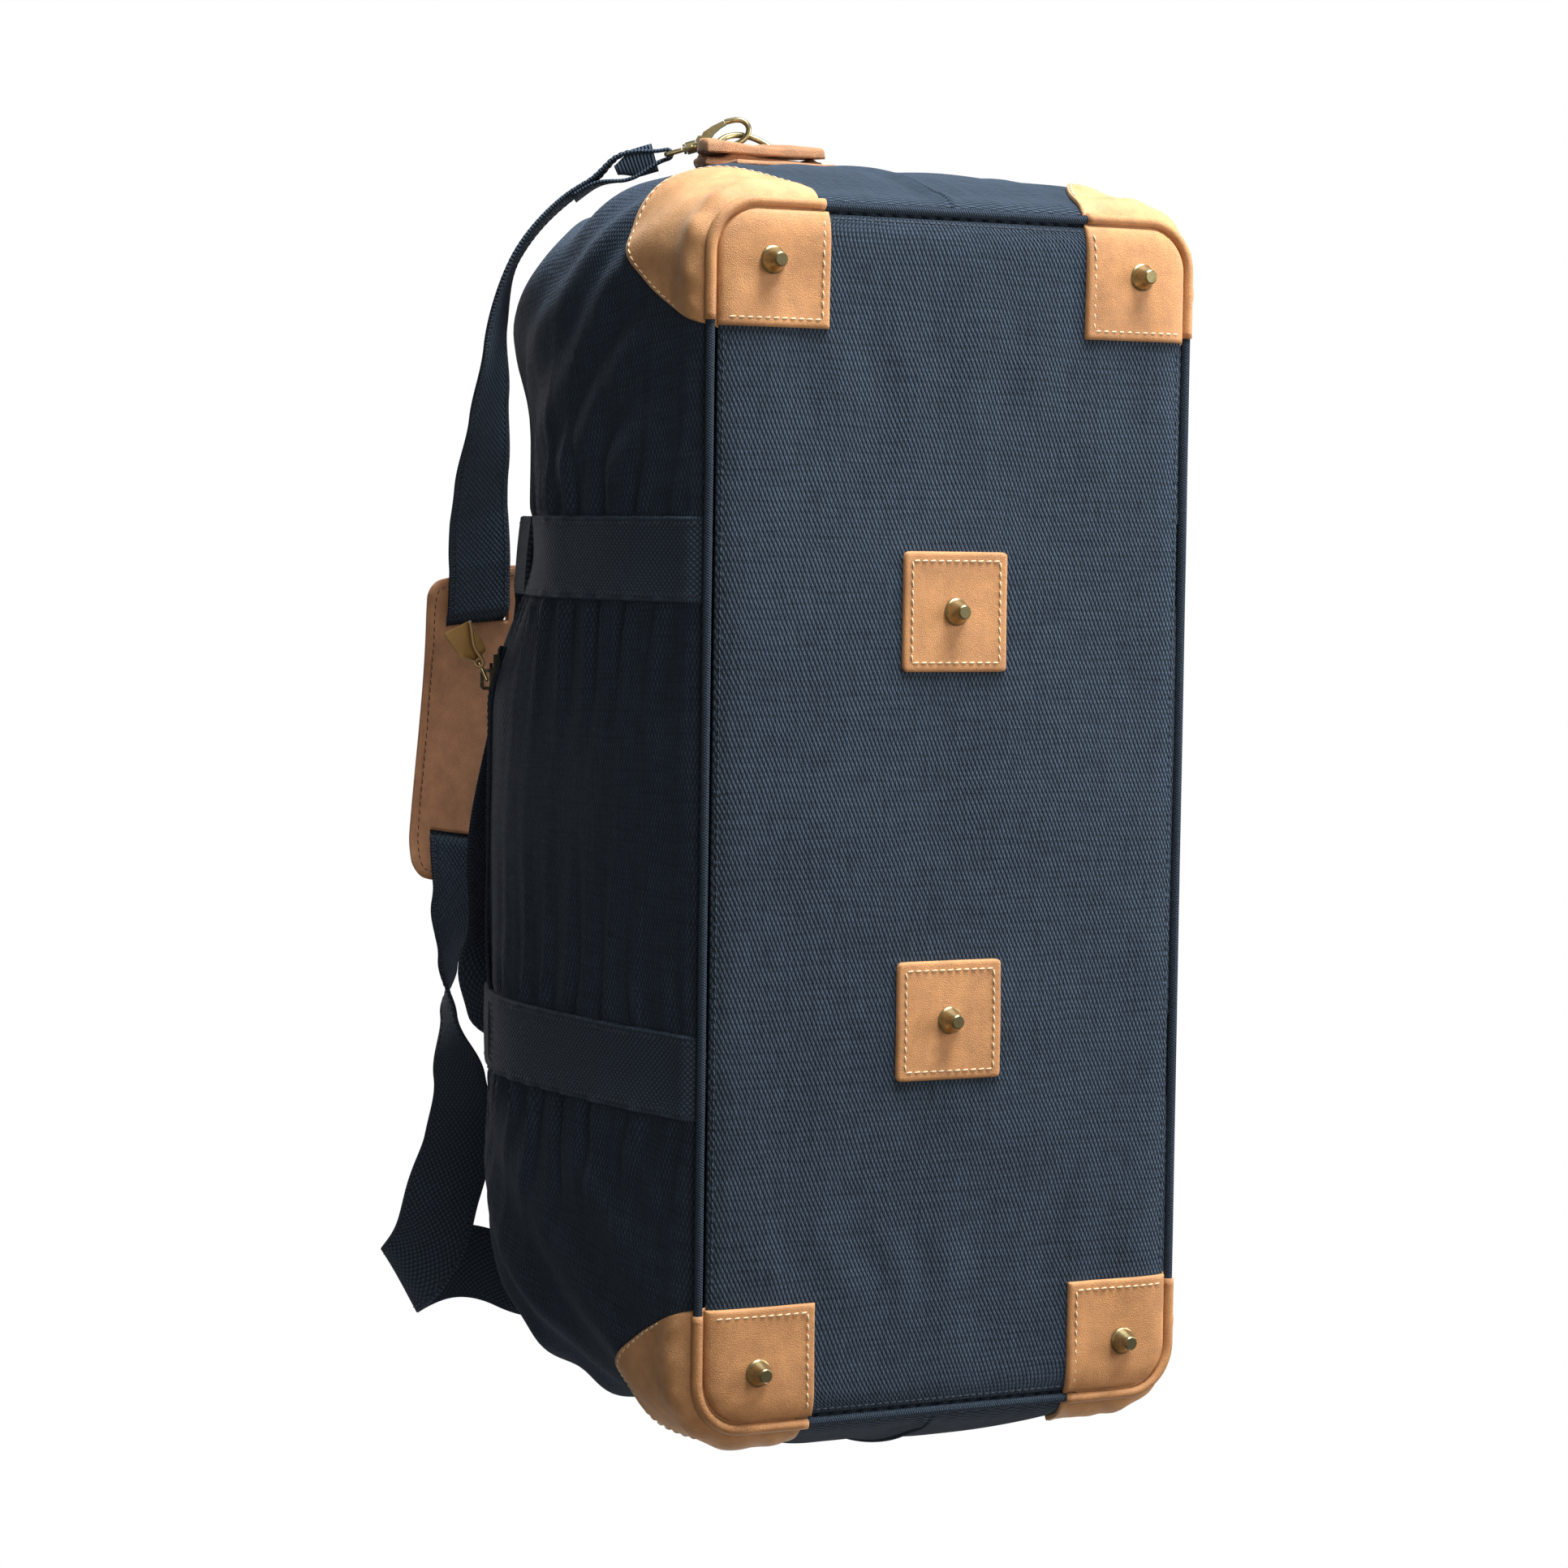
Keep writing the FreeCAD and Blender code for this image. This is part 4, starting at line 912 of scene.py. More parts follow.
# ---------------------------------------------------------------- leather up the corners
WING_HALF = 51.0
WING_TOP = 66.0
WING_T = 2.1
WING_UNDER = 3.5


def wing_top(g):
    """Height of the wing's domed upper edge."""
    return SEAM_Z + WING_TOP * (1 - np.abs(g) ** 2.7) ** 0.62


def wing_point(g, w, lift, end, side):
    """g runs across the wing from -1 on the long wall to 1 on the end; w runs up it from 0 to 1."""
    z = SEAM_Z - WING_UNDER + w * (wing_top(g) - SEAM_Z + WING_UNDER)
    bulge = 2.6 * hump(z, SEAM_Z + 9, 9.0) * (1 - g ** 4)
    turn = np.clip((SEAM_Z + 3.0 - z) / 6.5, 0, 1)
    p = wall(corner_t(g * WING_HALF, z, end), np.maximum(z, SEAM_Z), lift + bulge - 3.0 * turn ** 2, side)
    p[..., 2] -= np.maximum(SEAM_Z - z, 0) * 0.9
    return p


def build_wing(end, side, name):
    """Leather wrapped up a corner from the base seam, creased low down, stitched along its domed edge."""
    stitch_down = 3.9
    g, w = np.meshgrid(with_edges(-0.992, 0.992, 60, 0.014), with_edges(0.0, 1.0, 34, 0.014))
    lift = rounded_lift(*g.shape, WING_T)
    crease = 0.55 * value_noise(np.stack([g * 50, w * 60, g * 0 + end * 30 + side * 70], -1), 15.0, 71)
    ripple = 0.5 * np.sin(g * 19 + 2.0 * crease) * hump(w, 0.16, 0.13)
    outer = wing_point(g, w, lift + 0.25 + (crease + ripple) * smooth(lift, 0.5, WING_T), end, side)
    inner = wing_point(g, w, 0.15, end, side)
    # the wings wear the lighter copy of the tan leather, as painted light
    settle(sheet(name, outer, inner, PAINTED_LIGHT_TAN, end * side > 0), "bag", "tan_leather", name)
    a = np.linspace(-0.93, 0.93, 200)
    below = 1 - stitch_down / np.maximum(wing_top(a) - SEAM_Z + WING_UNDER, 1)
    path, above = (wing_point(a, below, height, end, side) for height in (2.45, 4.0))
    sew(name + "_stitches", [(path, unit(above - path))], CREAM, "bag", "tan_leather")


# ---------------------------------------------------------------- webbing bands and handles
EDGE_STITCH = 15.6                # the edge stitching's distance from the middle of the webbing
BAND_T = 2.5


def wall_run(x, z, lift, side):
    """A line to sew on the wall, as a path and its normals."""
    t = wall_t(x, z)
    path = wall(t, z, lift, side)
    return path, unit(wall(t, z, 5.0, side) - path)


def build_band(end, side, name):
    """Webbing stitched up the wall from the base seam."""
    u = with_edges(-WEB_W / 2, WEB_W / 2, 12, 0.7)
    x, z = np.meshgrid(end * BAND_X + u, np.linspace(SEAM_Z - 1.0, BAND_TOP_Z, 90))
    t = wall_t(x, z)
    above_seam = np.maximum(z, SEAM_Z)
    outer = wall(t, above_seam, edge_lift(len(u), BAND_T) + 0.3, side)
    inner = wall(t, above_seam, 0.2, side)
    if end < 0:
        outer, inner = outer[:, ::-1], inner[:, ::-1]
    band = sheet(name, outer, inner, WEBBING, flip=(side > 0) != (end < 0))
    centre_uv(band)
    settle(band, "bag", "navy_webbing", name)
    z_line, x_line = np.linspace(SEAM_Z + 2, BAND_TOP_Z - 6, 120), np.linspace(-15, 15, 20)
    runs = [wall_run(end * (BAND_X + offset), z_line, 2.75, side) for offset in (-EDGE_STITCH, EDGE_STITCH)]
    for z_row in (BAND_TOP_Z - 7, BAND_TOP_Z - 11):
        runs.append(wall_run(end * (BAND_X + x_line), np.full_like(x_line, z_row), 2.8, side))
    sew(name + "_stitches", runs, NAVY_THREAD, "bag", "navy_webbing", **WEB_STITCH, radius=0.34)


def centre_uv(obj):
    """Shifts the across-coordinate so that it runs from minus to plus half the width."""
    layer = obj.data.uv_layers["mm"].data
    uv = np.zeros((len(layer), 2))
    layer.foreach_get("uv", uv.ravel())
    uv[:, 0] -= (uv[:, 0].max() + uv[:, 0].min()) / 2
    layer.foreach_set("uv", uv.ravel())


HANDLE_TOPS = {                   # each handle over the top, from +X to -X: centre, width direction
    1: [((106, 99.5, 284), (0.9, 0.42, -0.2)),
        ((82, 89.5, 304), (0.4, 0.9, -0.35)),
        ((44, 80.4, 314.2), (0.05, 0.95, -0.3)),
        ((0, 79.4, 316.2), (0, 0.95, -0.3)),
        ((-44, 80.4, 314.2), (-0.05, 0.95, -0.3)),
        ((-82, 89.5, 304), (-0.4, 0.9, -0.35)),
        ((-106, 99.5, 284), (-0.9, 0.42, -0.2))],
    -1: [((107, 73.0, 287), (0.85, 0.5, -0.2)),
         ((90, 67.0, 301), (0.4, 0.9, -0.35)),
         ((55, 71.0, 312.0), (0.05, 0.95, -0.3)),
         ((5, 81.0, 315.5), (0, 0.95, -0.3)),
         ((-42, 89.0, 313.0), (-0.05, 0.95, -0.3)),
         ((-82, 91.5, 304), (-0.4, 0.9, -0.35)),
         ((-106, 98.5, 286), (-0.9, 0.42, -0.2))],
}
FOOT_LIFTS = [(219.5, 1.8), (225.0, 1.8), (231.0, 1.9), (238.0, 2.2), (250.0, 2.8), (263.0, 3.8),
              (276.0, 6.0)]       # height, distance from the wall


def handle_foot(x, side):
    """Knots up the wall from the top of a band."""
    knots = []
    for z, lift in FOOT_LIFTS:
        depth = abs(float(wall(wall_t(x, z), z, lift, side)[1]))
        across = wall(wall_t(x + 12, z), z, lift, side) - wall(wall_t(x - 12, z), z, lift, side)
        knots.append(((x, depth * side, z), tuple(across * np.sign(x))))
    return knots


def handle_path(side):
    """Knots of one handle from its +X foot to its -X foot; side is -1 for the front and 1 for the back."""
    over = [((c[0], c[1] * side, c[2]), (w[0], w[1] * side, w[2])) for c, w in HANDLE_TOPS[side]]
    return handle_foot(BAND_X, side) + over + handle_foot(-BAND_X, side)[::-1]


def hang(obj):
    """Bakes a handle piece's placement into its mesh."""
    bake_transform(obj)


def build_handle(side, name):
    centre, across, travel = ribbon_stations(handle_path(side))
    face = np.cross(across, travel)
    centre = centre + face * 0.5 * value_noise(centre, 24.0, 81 + side)[:, None]
    handle = strip(name, centre, across, travel, WEB_W, BAND_T, WEBBING, cup=0.5)
    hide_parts(name)
    hang(handle)
    sewn = slice(8, len(centre) - 8)
    runs = []
    for offset in (-EDGE_STITCH, EDGE_STITCH):
        for up in (-face[sewn], face[sewn]):
            runs.append((centre[sewn] + across[sewn] * offset + up * 1.35, up))
    hang(stitches(name + "_stitches", runs, NAVY_THREAD, **WEB_STITCH, radius=0.33))


# ---------------------------------------------------------------- bag ends
LEATHER_SHIFT = -8.5              # the ring's leather hangs a little to the front of its ring
LEATHER_Y = RING.y + LEATHER_SHIFT
END_T = 2.999                     # wall parameter just beside the end seam
UNDER_PLY = np.array([(-2.5, 196.0, 64.0), (-2.0, 203.0, 65.0), (-1.0, 211.0, 62.0), (-1.6, 218.0, 54.0),
                      (-4.5, 224.0, 44.0)])
FOLD_PLY = np.array([(2.6, 194.0, 64.0), (3.0, 201.0, 65.0), (3.2, 208.0, 61.0), (3.4, 216.0, 50.0),
                     (3.0, 225.0, 40.0), (-0.6, 230.6, 38.0), (-4.0, 227.6, 38.0),
                     (-4.6, 222.0, 40.0)])  # out from the ring's bar, height, width


def build_zip_end(end, name):
    """Webbing sewn over the end of the zip, running down under the ring's leather."""
    z = np.array([290.0, 278.0, 262.0, 245.0, 228.0, 212.0, 202.0])
    top = [(213.0, 297.4), (222.0, 297.9), (231.0, 297.6), (238.5, 295.9)]
    down = [(p[0], p[2]) for p in wall(np.full_like(z, END_T), z, 3.0, 1)]
    centre, across, travel = ribbon_stations([((x * end, 0.0, h), (0, 1, 0)) for x, h in top + down])
    settle(strip(name, centre, across, travel, 36.0, 2.4, WEBBING), "bag", "navy_webbing", name)
    out = np.cross(across, travel)
    out = out * np.sign(out[0, 2])
    surface = centre + out * 1.3
    runs = [(surface[2:] + across[2:] * offset, out[2:]) for offset in (-14.4, 14.4)]
    row = surface[3] + across[3] * np.linspace(-14, 14, 20)[:, None]
    runs.append((row, facing(row, out[3])))
    sew(name + "_stitches", runs, NAVY_THREAD, "bag", "navy_webbing", **WEB_STITCH, radius=0.33)


def leather_ply(name, stations, thickness, seed, crumple, end, *nodes):
    """A leather strap along stations of (x, z, width) at the bag's end; returns their curve."""
    chord = arc(stations[:, :2])
    line = spline(chord, stations)
    s = with_edges(0.0, chord[-1], int(chord[-1] / 1.5), 0.8)
    x, z, width = line(s).T[..., None]
    heading = unit(np.gradient(line(s)[:, :2], s, axis=0))
    f, ss = np.meshgrid(with_edges(-1.0, 1.0, 30, 0.03), s)
    y = LEATHER_Y + f * width / 2
    lift = rounded_lift(*f.shape, thickness)
    rough = value_noise(flat(ss, y), 17.0, seed) + 0.6 * value_noise(flat(ss, y), 9.0, seed + 3)
    crush = crumple * rough * smooth(lift, 0.4, thickness)

    def lay(height):
        return np.stack([(x + heading[:, 1:] * height) * end, y, z - heading[:, :1] * height], -1)

    ply = sheet(name, lay(lift + crush), lay(crush * 0.6), CREASED_TAN, end > 0)
    settle(ply, "bag", "tan_leather", *nodes)
    return line


def build_ring_anchor(end, name):
    """Leather that carries the D-ring: a base ply sewn to the end and a folded ply round the ring's bar."""
    base_w, stitch_in, sewn_out = 54.0, 4.0, 3.0
    z = np.linspace(172.0, 234.0, 9)
    seat = wall(np.full_like(z, END_T), z, 2.6, 1)
    out = seat[:, 0] + 1.4 * hump(seat[:, 2], 215, 12.0)
    base_ply = np.stack([out, seat[:, 2], np.full_like(z, base_w)], -1)
    leather_ply(name, base_ply, 2.4, 91, 0.35, end, name)
    leather_ply(name + "_under", UNDER_PLY + (RING.x, 0, 0), 4.6, 93, 2.8, end)
    fold = leather_ply(name + "_fold", FOLD_PLY + (RING.x, 0, 0), 4.4, 95, 3.2, end)
    x, z, width = fold(np.linspace(4.0, 14.0, 24)).T
    lines = [(x, LEATHER_Y + sy * (width / 2 - stitch_in), z) for sy in (-1, 1)]
    across = np.linspace(-26.0, 26.0, 24) + LEATHER_Y
    lines.append((x[0] + across * 0, across, z[0] + across * 0))
    paths = [np.stack([(lx + sewn_out) * end, ly, lz], -1) for lx, ly, lz in lines]
    runs = [(path, facing(path, (end, 0.0, 0.0))) for path in paths]
    sew(name + "_stitches", runs, CREAM, "bag", "tan_leather")


# ---------------------------------------------------------------- shoulder strap
SNAPS = {                         # per end: the way the snap hangs from its ring, the way its eye's bar runs
    1: ((0.283, 0.854, -0.431), (0.10, 0.46, 0.88)),
    -1: ((-0.50, 0.51, -0.70), (0.34, -0.62, -0.70)),
}
SNAP_EYE = -34.7
RING_BAR_OUT = 3.0
RING_TILT, RING_SEAT_ANGLE = math.radians(40), math.radians(80)
BAR_GAP = EYE_WIRE_R + 1.15
PLY_T, PLY_GAP = 1.9, 0.95
SPLICES = {                       # per end: bulge, where the plies meet, where they fade, length sewn back
    1: (4.2, 42.0, (50, 90), 52.0),
    -1: (1.2, 24.0, (34, 60), 31.0),
}
TURN_POINTS = 7


def eye_bar(end):
    """Centre of the bar the webbing folds round, its direction, and the way the strap leaves it."""
    reach = RING_BAR_OUT + RING_R * math.sin(RING_SEAT_ANGLE)
    along = np.array([math.cos(RING_TILT), 0, math.sin(RING_TILT)])
    seat = np.array(RING) + along * reach - (0, RING_R * math.cos(RING_SEAT_ANGLE), 0)
    axis, side = unit(np.array(SNAPS[end][0])), np.array(SNAPS[end][1])
    return seat * (end, 1, 1) + axis * SNAP_EYE, unit(side - axis * side.dot(axis)), -axis


def strap_knots():
    """Centre and width direction of the shoulder strap, from the +X snap to the -X snap."""
    start, start_side, start_pull = eye_bar(1)
    finish, finish_side, finish_pull = eye_bar(-1)
    return [
        (start, start_side),
        (start + start_pull * 14, start_side),
        ((287, -72, 279), (0, 0.46, 0.88)),
        ((260, -93, 288), (0, 0.46, 0.88)),
        ((222, -97, 302), (0, 0.60, 0.80)),
        ((188, -93, 318), (0, 0.76, 0.65)),
        ((152, -88, 338), (0, 0.90, 0.44)),
        ((112, -82, 357), (0, 0.97, 0.24)),
        ((PAD_X + PAD_SLOT_X, -79, 365), (0, 0.98, 0.19)),
        ((PAD_X, -80, 371), (0, 0.98, 0.19)),
        ((PAD_X - PAD_SLOT_X, -86, 368), (0, 0.98, 0.19)),
        ((-68, -91, 362), (0, 0.90, 0.43)),
        ((-96, -96, 357), (0, 0.60, 0.80)),
        ((-122, -97, 353), (0, 0.20, 0.98)),
        ((-154, -92, 350), (0.0, -0.35, 0.93)),
        ((-186, -93, 347), (0.1, -0.70, 0.70)),
        ((-214, -104, 343), (0.4, -0.80, 0.55)),
        ((-238, -114, 338), (0.62, -0.65, 0.45)),
        ((-251, -124, 338), (0.78, -0.50, 0.34)),
        ((-257, -122, 352), (0.86, -0.40, 0.25)),
        ((-251, -102, 355), (0.97, -0.1, 0.1)),
        ((-254, -72, 333), (1, 0, -0.1)),
        (finish + finish_pull * 52, finish_side),
        (finish + finish_pull * 12, finish_side),
        (finish, finish_side),
    ]


STRAP_CENTRE, STRAP_ACROSS, STRAP_TRAVEL = ribbon_stations(strap_knots(), 1.5)
STRAP_FACE = np.cross(STRAP_ACROSS, STRAP_TRAVEL)
STRAP_S = arc(STRAP_CENTRE)
FROM_SNAP = {1: STRAP_S, -1: STRAP_S[-1] - STRAP_S}


def pad_offset(x):
    """Strap height relative to the pad: outside the slots it lies below the pad, between them above."""
    height = (PAD_T + STRAP_T) / 2 + PAD_GAP
    run, fade_from, fade_over = 4.0, 53.0, 25.0
    from_slot = np.abs(x - PAD_X) - PAD_SLOT_X
    fade = np.clip((fade_from - from_slot) / fade_over, 0, 1)
    return height * (1 - 2 * smooth(from_slot, -run, run)) * fade


def ply_gap(end):
    """Half the gap between the two plies of webbing, all along the strap from one snap's eye."""
    bulge, join, *_ = SPLICES[end]
    s = FROM_SNAP[end]
    closing = smooth(s, 0.3 * join, join)
    swell = bulge * np.sin(np.clip(s / join, 0, 1) * math.pi) ** 2 * np.clip(1.6 - s / join, 0, 1)
    return (BAR_GAP * (1 - closing) + PLY_GAP * closing + swell)[:, None]


def turned_back(end):
    """Points and width directions of the webbing turned round a snap's eye and sewn back on the strap."""
    at = 0 if end > 0 else -1
    part = FROM_SNAP[end] < SPLICES[end][-1]
    ply = (STRAP_CENTRE - STRAP_FACE * ply_gap(end))[part][::-1]
    angle = np.linspace(0, math.pi, TURN_POINTS + 2)[1:-1, None]
    out = STRAP_FACE[at] * np.cos(angle) - end * STRAP_TRAVEL[at] * np.sin(angle)
    turn = STRAP_CENTRE[at] + BAR_GAP * out[::-end]
    pieces = [(ply, STRAP_ACROSS[part][::-1]), (turn, facing(turn, STRAP_ACROSS[at]))]
    return [np.concatenate(rows) for rows in zip(*pieces[::end])]


def main_run():
    """Centre of the strap's long outer ply, threaded through the pad and lifted off its turned-back ends."""
    up = STRAP_FACE * np.sign(STRAP_FACE[:, 2:3] + 1e-9)
    main = STRAP_CENTRE + up * pad_offset(STRAP_CENTRE[:, 0])[:, None]
    for end in (1, -1):
        main = main + STRAP_FACE * ply_gap(end) * (1 - smooth(FROM_SNAP[end], *SPLICES[end][2]))[:, None]
    return main


def build_strap():
    """Webbing folded round both snap eyes and sewn back on itself, with a thick sleeve at each fold."""
    first, first_across = turned_back(1)
    last, last_across = turned_back(-1)
    centre = np.concatenate([first, main_run(), last])
    travel = unit(np.gradient(centre, axis=0))
    across = square_to(np.concatenate([first_across, STRAP_ACROSS, last_across]), travel)
    strap = strip("strap_webbing", centre, across, travel, WEB_W, PLY_T, WEBBING)
    settle(strap, "strap", "navy_webbing", "strap_webbing")
    for end, hand in ((1, "right"), (-1, "left")):
        away = FROM_SNAP[end]
        part = (away > 5.0) & (away < 27.0)
        fat = 9.5 * (1 - smooth(away[part], 14, 27)) + 4.5
        lines = (line[part] for line in (STRAP_CENTRE, STRAP_ACROSS, STRAP_TRAVEL))
        settle(strip("strap_sleeve_" + hand, *lines, WEB_W - 1.0, fat, WEBBING), "strap", "navy_webbing")


def sew_strap():
    """Stitching down both edges of both faces, and two rows across where the +X end is sewn back."""
    edge, clear, row_half = 15.4, 10.0, 15.0
    main = main_run()
    travel = unit(np.gradient(main, axis=0))
    side = square_to(STRAP_ACROSS, travel)
    face = np.cross(side, travel)
    keep = (FROM_SNAP[1] > clear) & (FROM_SNAP[-1] > clear)
    runs = []
    for offset in (-edge, edge):
        for up in (-face[keep], face[keep]):
            runs.append((main[keep] + side[keep] * offset + up, up))
    for k in np.searchsorted(STRAP_S, (44.0, 50.0)):
        row = main[k] + side[k] * np.linspace(-row_half, row_half, 20)[:, None] + face[k]
        runs.append((row, facing(row, face[k])))
    sew("strap_stitches", runs, NAVY_THREAD, "strap", "navy_webbing", **WEB_STITCH, radius=0.3)


PAD_HALF, PAD_HALF_W = PAD_L / 2, PAD_W / 2
SLOT_IN, SLOT_OUT = PAD_SLOT_X - 2.7, PAD_SLOT_X + 2.7
SLOT_HALF_W = WEB_W / 2 + 0.2
PAD_CORNER = 9.0
PAD_STITCH = 4.2


def pad_stations():
    """Lengths along the pad from its middle, and the pad's centre line, width and face directions there."""
    s = np.concatenate([with_edges(-PAD_HALF, -SLOT_OUT, 10, 0.9),
                        joined((-SLOT_OUT, -SLOT_IN, SLOT_IN, SLOT_OUT), (5, 61, 5))[1:-1],
                        with_edges(SLOT_OUT, PAD_HALF, 10, 0.9)])
    inside = np.flatnonzero(np.abs(STRAP_CENTRE[:, 0] - PAD_X) < PAD_HALF + 6)
    order = inside[np.argsort(STRAP_CENTRE[inside, 0])]
    lines = (STRAP_CENTRE, STRAP_ACROSS, -STRAP_TRAVEL)
    centre, across, travel = (read(s + PAD_X, STRAP_CENTRE[order, 0], line[order]) for line in lines)
    across = unit(across)
    up = np.cross(across, unit(travel))
    return s, centre, across, up * np.sign(up[:, 2:3])


def pad_shape(place, u, rim):
    """How far the pad is bowed and dented, u mm from its middle line and rim mm in from its edge."""
    return 0.6 * value_noise(place, 30.0, 101) * smooth(rim, 0, 6) - 1.6 * (np.abs(u) / PAD_HALF_W) ** 2


def build_pad():
    """Leather shoulder pad with turned edges and a slot near each end."""
    s, centre, across, up = pad_stations()
    margin = with_edges(SLOT_HALF_W, PAD_HALF_W, 8, 0.9)
    between = np.linspace(-SLOT_HALF_W, SLOT_HALF_W, 22)[1:-1]
    u, s = np.meshgrid(np.concatenate([-margin[::-1], between, margin]), s)
    past = np.clip(np.abs(s) - (PAD_HALF - PAD_CORNER), 0, PAD_CORNER)
    pull_in = PAD_CORNER - np.sqrt(np.maximum(PAD_CORNER ** 2 - past ** 2, 0))
    u = u * (1 - pull_in / PAD_HALF_W)
    rim = np.minimum(np.minimum(PAD_HALF_W - pull_in - np.abs(u), PAD_HALF - np.abs(s)), PAD_CORNER)
    beyond = np.abs(np.abs(s) - PAD_SLOT_X) <= (SLOT_OUT - SLOT_IN) / 2 + 1e-6
    in_slot = beyond & (np.abs(u) <= SLOT_HALF_W + 1e-3)
    thick = PAD_T / 2 * (0.35 + 0.65 * smooth(rim, 0.0, 1.8))
    groove = 0.28 * hump(rim, PAD_STITCH, 0.8)
    place = centre[:, None] + across[:, None] * u[..., None]
    shape = pad_shape(place, u, rim)
    outer = place + up[:, None] * (shape + thick - groove)[..., None]
    inner = place + up[:, None] * (shape - thick)[..., None]
    keep = ~(in_slot[:-1, :-1] & in_slot[1:, 1:] & in_slot[1:, :-1] & in_slot[:-1, 1:])
    settle(sheet("strap_pad", outer, inner, BROWN, keep=keep), "pad", "pad_leather", "strap_pad")


def sew_pad():
    """Stitching round both faces of the pad."""
    squareness, sunk = 0.12, (0.15, 0.05)
    s, centre, across, up = pad_stations()
    line = np.linspace(0, TURN, 500, endpoint=False)
    along, over = (wave(line) for wave in (np.cos, np.sin))
    along = (PAD_HALF - PAD_STITCH) * np.sign(along) * np.abs(along) ** squareness
    over = (PAD_HALF_W - PAD_STITCH) * np.sign(over) * np.abs(over) ** squareness
    centre, across, up = (read(along, s, values) for values in (centre, across, up))
    middle = centre + across * over[:, None]
    lift = pad_shape(middle, over, np.full_like(over, PAD_STITCH))
    runs = [(middle + up * (lift + PAD_T / 2 - sunk[0])[:, None], up),
            (middle + up * (lift - PAD_T / 2 + sunk[1])[:, None], -up)]
    sew("strap_pad_stitches", runs, TONAL, "pad", "pad_leather", pitch=3.9, length=3.0, radius=0.36)


# ---------------------------------------------------------------- leather pulls
PULL_PLY = 0.95
PULL_BEND_R = 1.9
TAIL_POINTS = 18


def build_pull(name, body, origin, along, up_axis, start, length, width, splay, twist=0.0):
    """A leather strip folded round a ring's far bar; its tails part by splay, the first turns by twist."""
    along, side = unit(np.array(along, float)), unit(np.array(up_axis, float))
    out = unit(np.cross(along, side))
    s = np.linspace(length, 1.5, TAIL_POINTS)

    def tail(sign, lean):
        narrowing = (PULL_BEND_R - PULL_PLY) * (1 - smooth(s, 0, 8))
        return np.stack([start + s, sign * (PULL_PLY + narrowing + lean * smooth(s, 5, length) ** 1.3)], -1)

    angle = np.linspace(math.pi / 2, 3 * math.pi / 2, 9)
    bend = (start, 0) + PULL_BEND_R * np.stack([np.cos(angle), np.sin(angle)], -1)
    profile = np.concatenate([tail(1, splay[0]), bend, tail(-1, splay[1])[::-1]])
    centre = np.array(origin, float) + along * profile[:, :1] + out * profile[:, 1:]
    turn = np.zeros((len(centre), 1))
    turn[:TAIL_POINTS, 0] = twist * smooth(s, 1.5, 0.28 * length)
    travel = unit(np.gradient(centre, axis=0))
    sides = square_to(side * np.cos(turn) + out * np.sin(turn), travel)
    pull = strip(name, centre, sides, travel, width, 1.6, GOLD_HIDE, cup=0.3)
    bare_edges(pull, len(centre))
    settle(pull, body, "pull_leather", name)


def bare_edges(pull, rows):
    """Gives a strip's long edges and its two ends the look of cut leather."""
    pull.data.materials.append(RAW_EDGE)
    columns = 2 * (STRIP_POINTS + 2 * len(EDGE_POINTS))
    for i, polygon in enumerate(pull.data.polygons):
        if i % columns in (columns // 2 - 1, columns - 1) or i >= (rows - 1) * columns:
            polygon.material_index = 1


def build_pulls():
    tilt, lean = math.radians(10), math.radians(25)
    for name, end in (("left", -1), ("right", 1)):
        build_pull("slider_pull_" + name, "pull_" + name, (end * 12.5, 0, 296.6),
                   (end * math.cos(tilt), 0, math.sin(tilt)), (0, end, 0), 12.0, 36.0, 13.0, (1.6, -0.4))
    along = np.array([1, 0, 0]) * math.cos(lean) + POCKET_OUT * math.sin(lean)
    build_pull("pocket_slider_pull", "pocket_pull", (54.0, -128.765, 236.597), along, POCKET_UP,
               9.0, 20.0, 14.0, (2.0, 3.0), math.radians(-78))


# ---------------------------------------------------------------- all the pieces
DRESSES = [                       # material, bevel in mm, CAD nodes that are kept as they are
    (BRASS, 0.35, ("foot_studs", "foot_washers")),
    (BRASS, 0.0, ("d_ring_right", "d_ring_left", "slider_ring_left", "slider_ring_right")),
    (BRASS, 0.0, ("pocket_slider_ring",)),
    (BRASS, 0.3, ("snap_eye_right", "snap_hook_right", "snap_gate_right", "snap_pin_right")),
    (BRASS, 0.3, ("snap_eye_left", "snap_hook_left", "snap_gate_left", "snap_pin_left", "strap_adjuster")),
    (ZIP_METAL, 0.3, ("slider_left", "slider_right", "pocket_slider")),
    (ZIP_METAL, 0.12, ("zip_teeth_front", "zip_teeth_back", "pocket_zip_teeth")),
    (TAPE, 0.0, ("zip_tape_front", "zip_tape_back", "pocket_zip_tape", "base_board")),
]
SHARP_ANGLE = math.radians(38)


def dress(material, bevel_mm, name):
    """Gives a CAD node its finish and breaks its sharp edges."""
    node = NODES[name]
    node.data.materials.clear()
    node.data.materials.append(material)
    if bevel_mm:
        bevel = node.modifiers.new("edges", "BEVEL")
        bevel.width = bevel_mm * MM
        bevel.segments = 2
        bevel.limit_method = "ANGLE"
        bevel.angle_limit = SHARP_ANGLE
        bevel.harden_normals = True


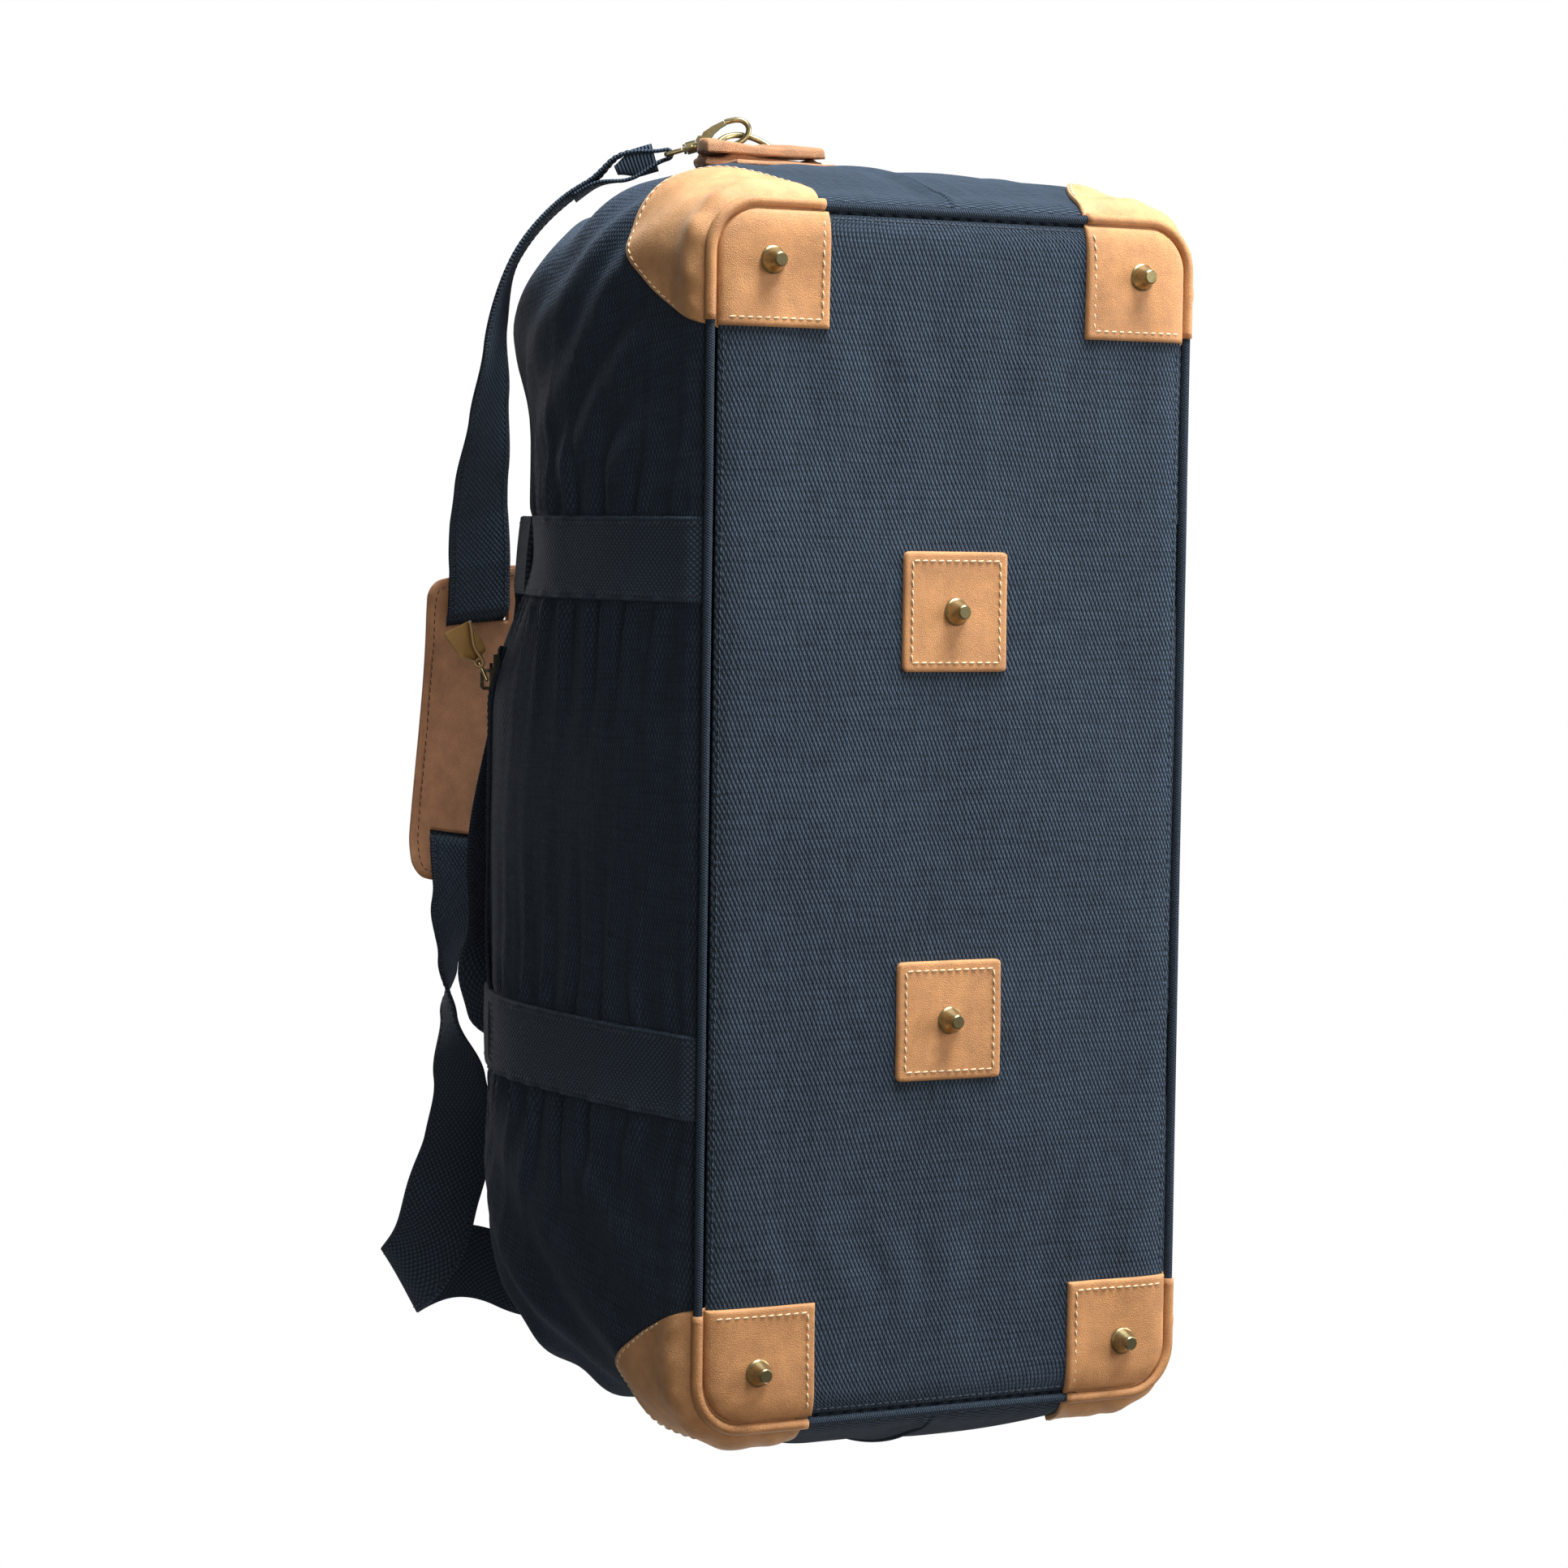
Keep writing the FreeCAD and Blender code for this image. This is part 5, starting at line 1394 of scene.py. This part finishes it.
def build_all():
    for side, y_name in ((-1, "front"), (1, "back")):
        build_shell(side, y_name + "_shell")
        build_top_panel(side, "top_panel_" + y_name)
        build_handle(side, "handle_" + y_name)
    build_pocket_welts()
    build_lining()
    build_pocket_bag()
    build_base()
    build_piping()
    build_base_topstitch()
    for end, x_name in ((1, "right"), (-1, "left")):
        for side, y_name in ((1, "back"), (-1, "front")):
            build_corner_patch(end, side, f"corner_patch_{y_name}_{x_name}")
            build_wing(end, side, f"corner_wing_{y_name}_{x_name}")
            build_band(end, side, f"webbing_band_{y_name}_{x_name}")
        build_centre_patch(end, "centre_patch_" + x_name)
        build_zip_end(end, "zip_end_tab_" + x_name)
        build_ring_anchor(end, "ring_anchor_" + x_name)
    build_strap()
    sew_strap()
    build_pad()
    sew_pad()
    build_pulls()
    for material, bevel_mm, names in DRESSES:
        for name in names:
            dress(material, bevel_mm, name)


# ---------------------------------------------------------------- floor, light and camera
FLOOR_HALF, FLOOR_Z = 6000.0, -1.0
MIDDLE = (0.0, 0.0, 0.15)
LIGHTS = [                        # name, place, target, size, watts, color
    ("key", (1.9, 0.35, -0.45), MIDDLE, 1.1, 112.0, (0.84, 0.925, 1.0)),
    ("under", (0.25, 1.0, -0.42), MIDDLE, 0.9, 13.5, (0.97, 0.985, 1.0)),
    ("low", (0.1, -0.85, -2.3), (0.0, -0.1, 0.3), 1.1, 15.0, (1.0, 0.99, 0.97)),
    ("top", (0.5, 0.3, 2.2), MIDDLE, 1.8, 30.0, (1.0, 0.99, 0.97)),
    ("left", (-1.9, 0.5, 0.9), MIDDLE, 1.4, 14.0, (1.0, 1.0, 1.0)),
]
CAMERA_PLACE = (0.12366, -0.95095, -1.63326)
CAMERA_RIGHT, CAMERA_UP = (0.01393, 0.88501, -0.46535), (0.99822, 0.01464, 0.05773)
CAMERA_BACK = (0.05791, -0.46533, -0.88324)


def floor_material():
    """Pale paper sweep that the camera sees through from below."""
    n = Nodes("floor")
    tone = n.noise(n.place(), 0.004, 3.0)
    grain = n.noise(n.place(), 0.9, 3.0)
    color = n.mix(tone, (0.86, 0.86, 0.86), (0.93, 0.93, 0.93))
    material = n.finish(color, 0.8, n.bump(grain, 0.05, 0.3))
    clear = n.node("ShaderNodeBsdfTransparent").outputs[0]
    below = n.node("ShaderNodeNewGeometry").outputs["Backfacing"]
    mix = n.node("ShaderNodeMixShader", Fac=below)
    n.put(mix.inputs[1], n.bsdf.outputs[0])
    n.put(mix.inputs[2], clear)
    n.put(n.tree.nodes["Material Output"].inputs[0], mix.outputs[0])
    return material


def build_floor():
    corners = [(x * FLOOR_HALF, y * FLOOR_HALF, FLOOR_Z) for x, y in ((-1, -1), (1, -1), (1, 1), (-1, 1))]
    floor = mesh_object("floor", corners, [(0, 1, 2, 3)], floor_material(), shade=False)
    floor.visible_shadow = False
    floor.visible_diffuse = False
    floor.visible_glossy = False


def build_light(name, place, target, size, watts, color):
    data = bpy.data.lights.new(name, "AREA")
    data.shape = "DISK"
    data.size = size
    data.energy = watts
    data.color = color
    light = bpy.data.objects.new(name, data)
    light.location = place
    light.rotation_euler = (Vector(target) - Vector(place)).to_track_quat("-Z", "Y").to_euler()
    bpy.context.scene.collection.objects.link(light)


def build_world():
    """White to the camera, but only a dim ambient light on the bag."""
    world = bpy.data.worlds.new("studio")
    world.use_nodes = True
    tree = world.node_tree
    tree.nodes.clear()
    path = tree.nodes.new("ShaderNodeLightPath")
    mix = tree.nodes.new("ShaderNodeMixShader")
    out = tree.nodes.new("ShaderNodeOutputWorld")
    tree.links.new(path.outputs["Is Camera Ray"], mix.inputs[0])
    for target, color, strength in ((1, (0.92, 0.96, 1.0, 1.0), 0.13), (2, (1.0, 1.0, 1.0, 1.0), 1.0)):
        background = tree.nodes.new("ShaderNodeBackground")
        background.inputs["Color"].default_value = color
        background.inputs["Strength"].default_value = strength
        tree.links.new(background.outputs[0], mix.inputs[target])
    tree.links.new(mix.outputs[0], out.inputs[0])
    bpy.context.scene.world = world


def build_camera():
    """The camera is below and beyond the +X end, looking up at the base."""
    data = bpy.data.cameras.new("camera")
    data.lens = 97.0
    data.sensor_width = 36.0
    camera = bpy.data.objects.new("camera", data)
    turn = Matrix((CAMERA_RIGHT, CAMERA_UP, CAMERA_BACK)).transposed().to_4x4()
    camera.matrix_world = Matrix.Translation(CAMERA_PLACE) @ turn
    bpy.context.scene.collection.objects.link(camera)
    bpy.context.scene.camera = camera


build_all()
build_floor()
for light in LIGHTS:
    build_light(*light)
build_world()
build_camera()
bpy.context.scene.view_settings.view_transform = "Standard"
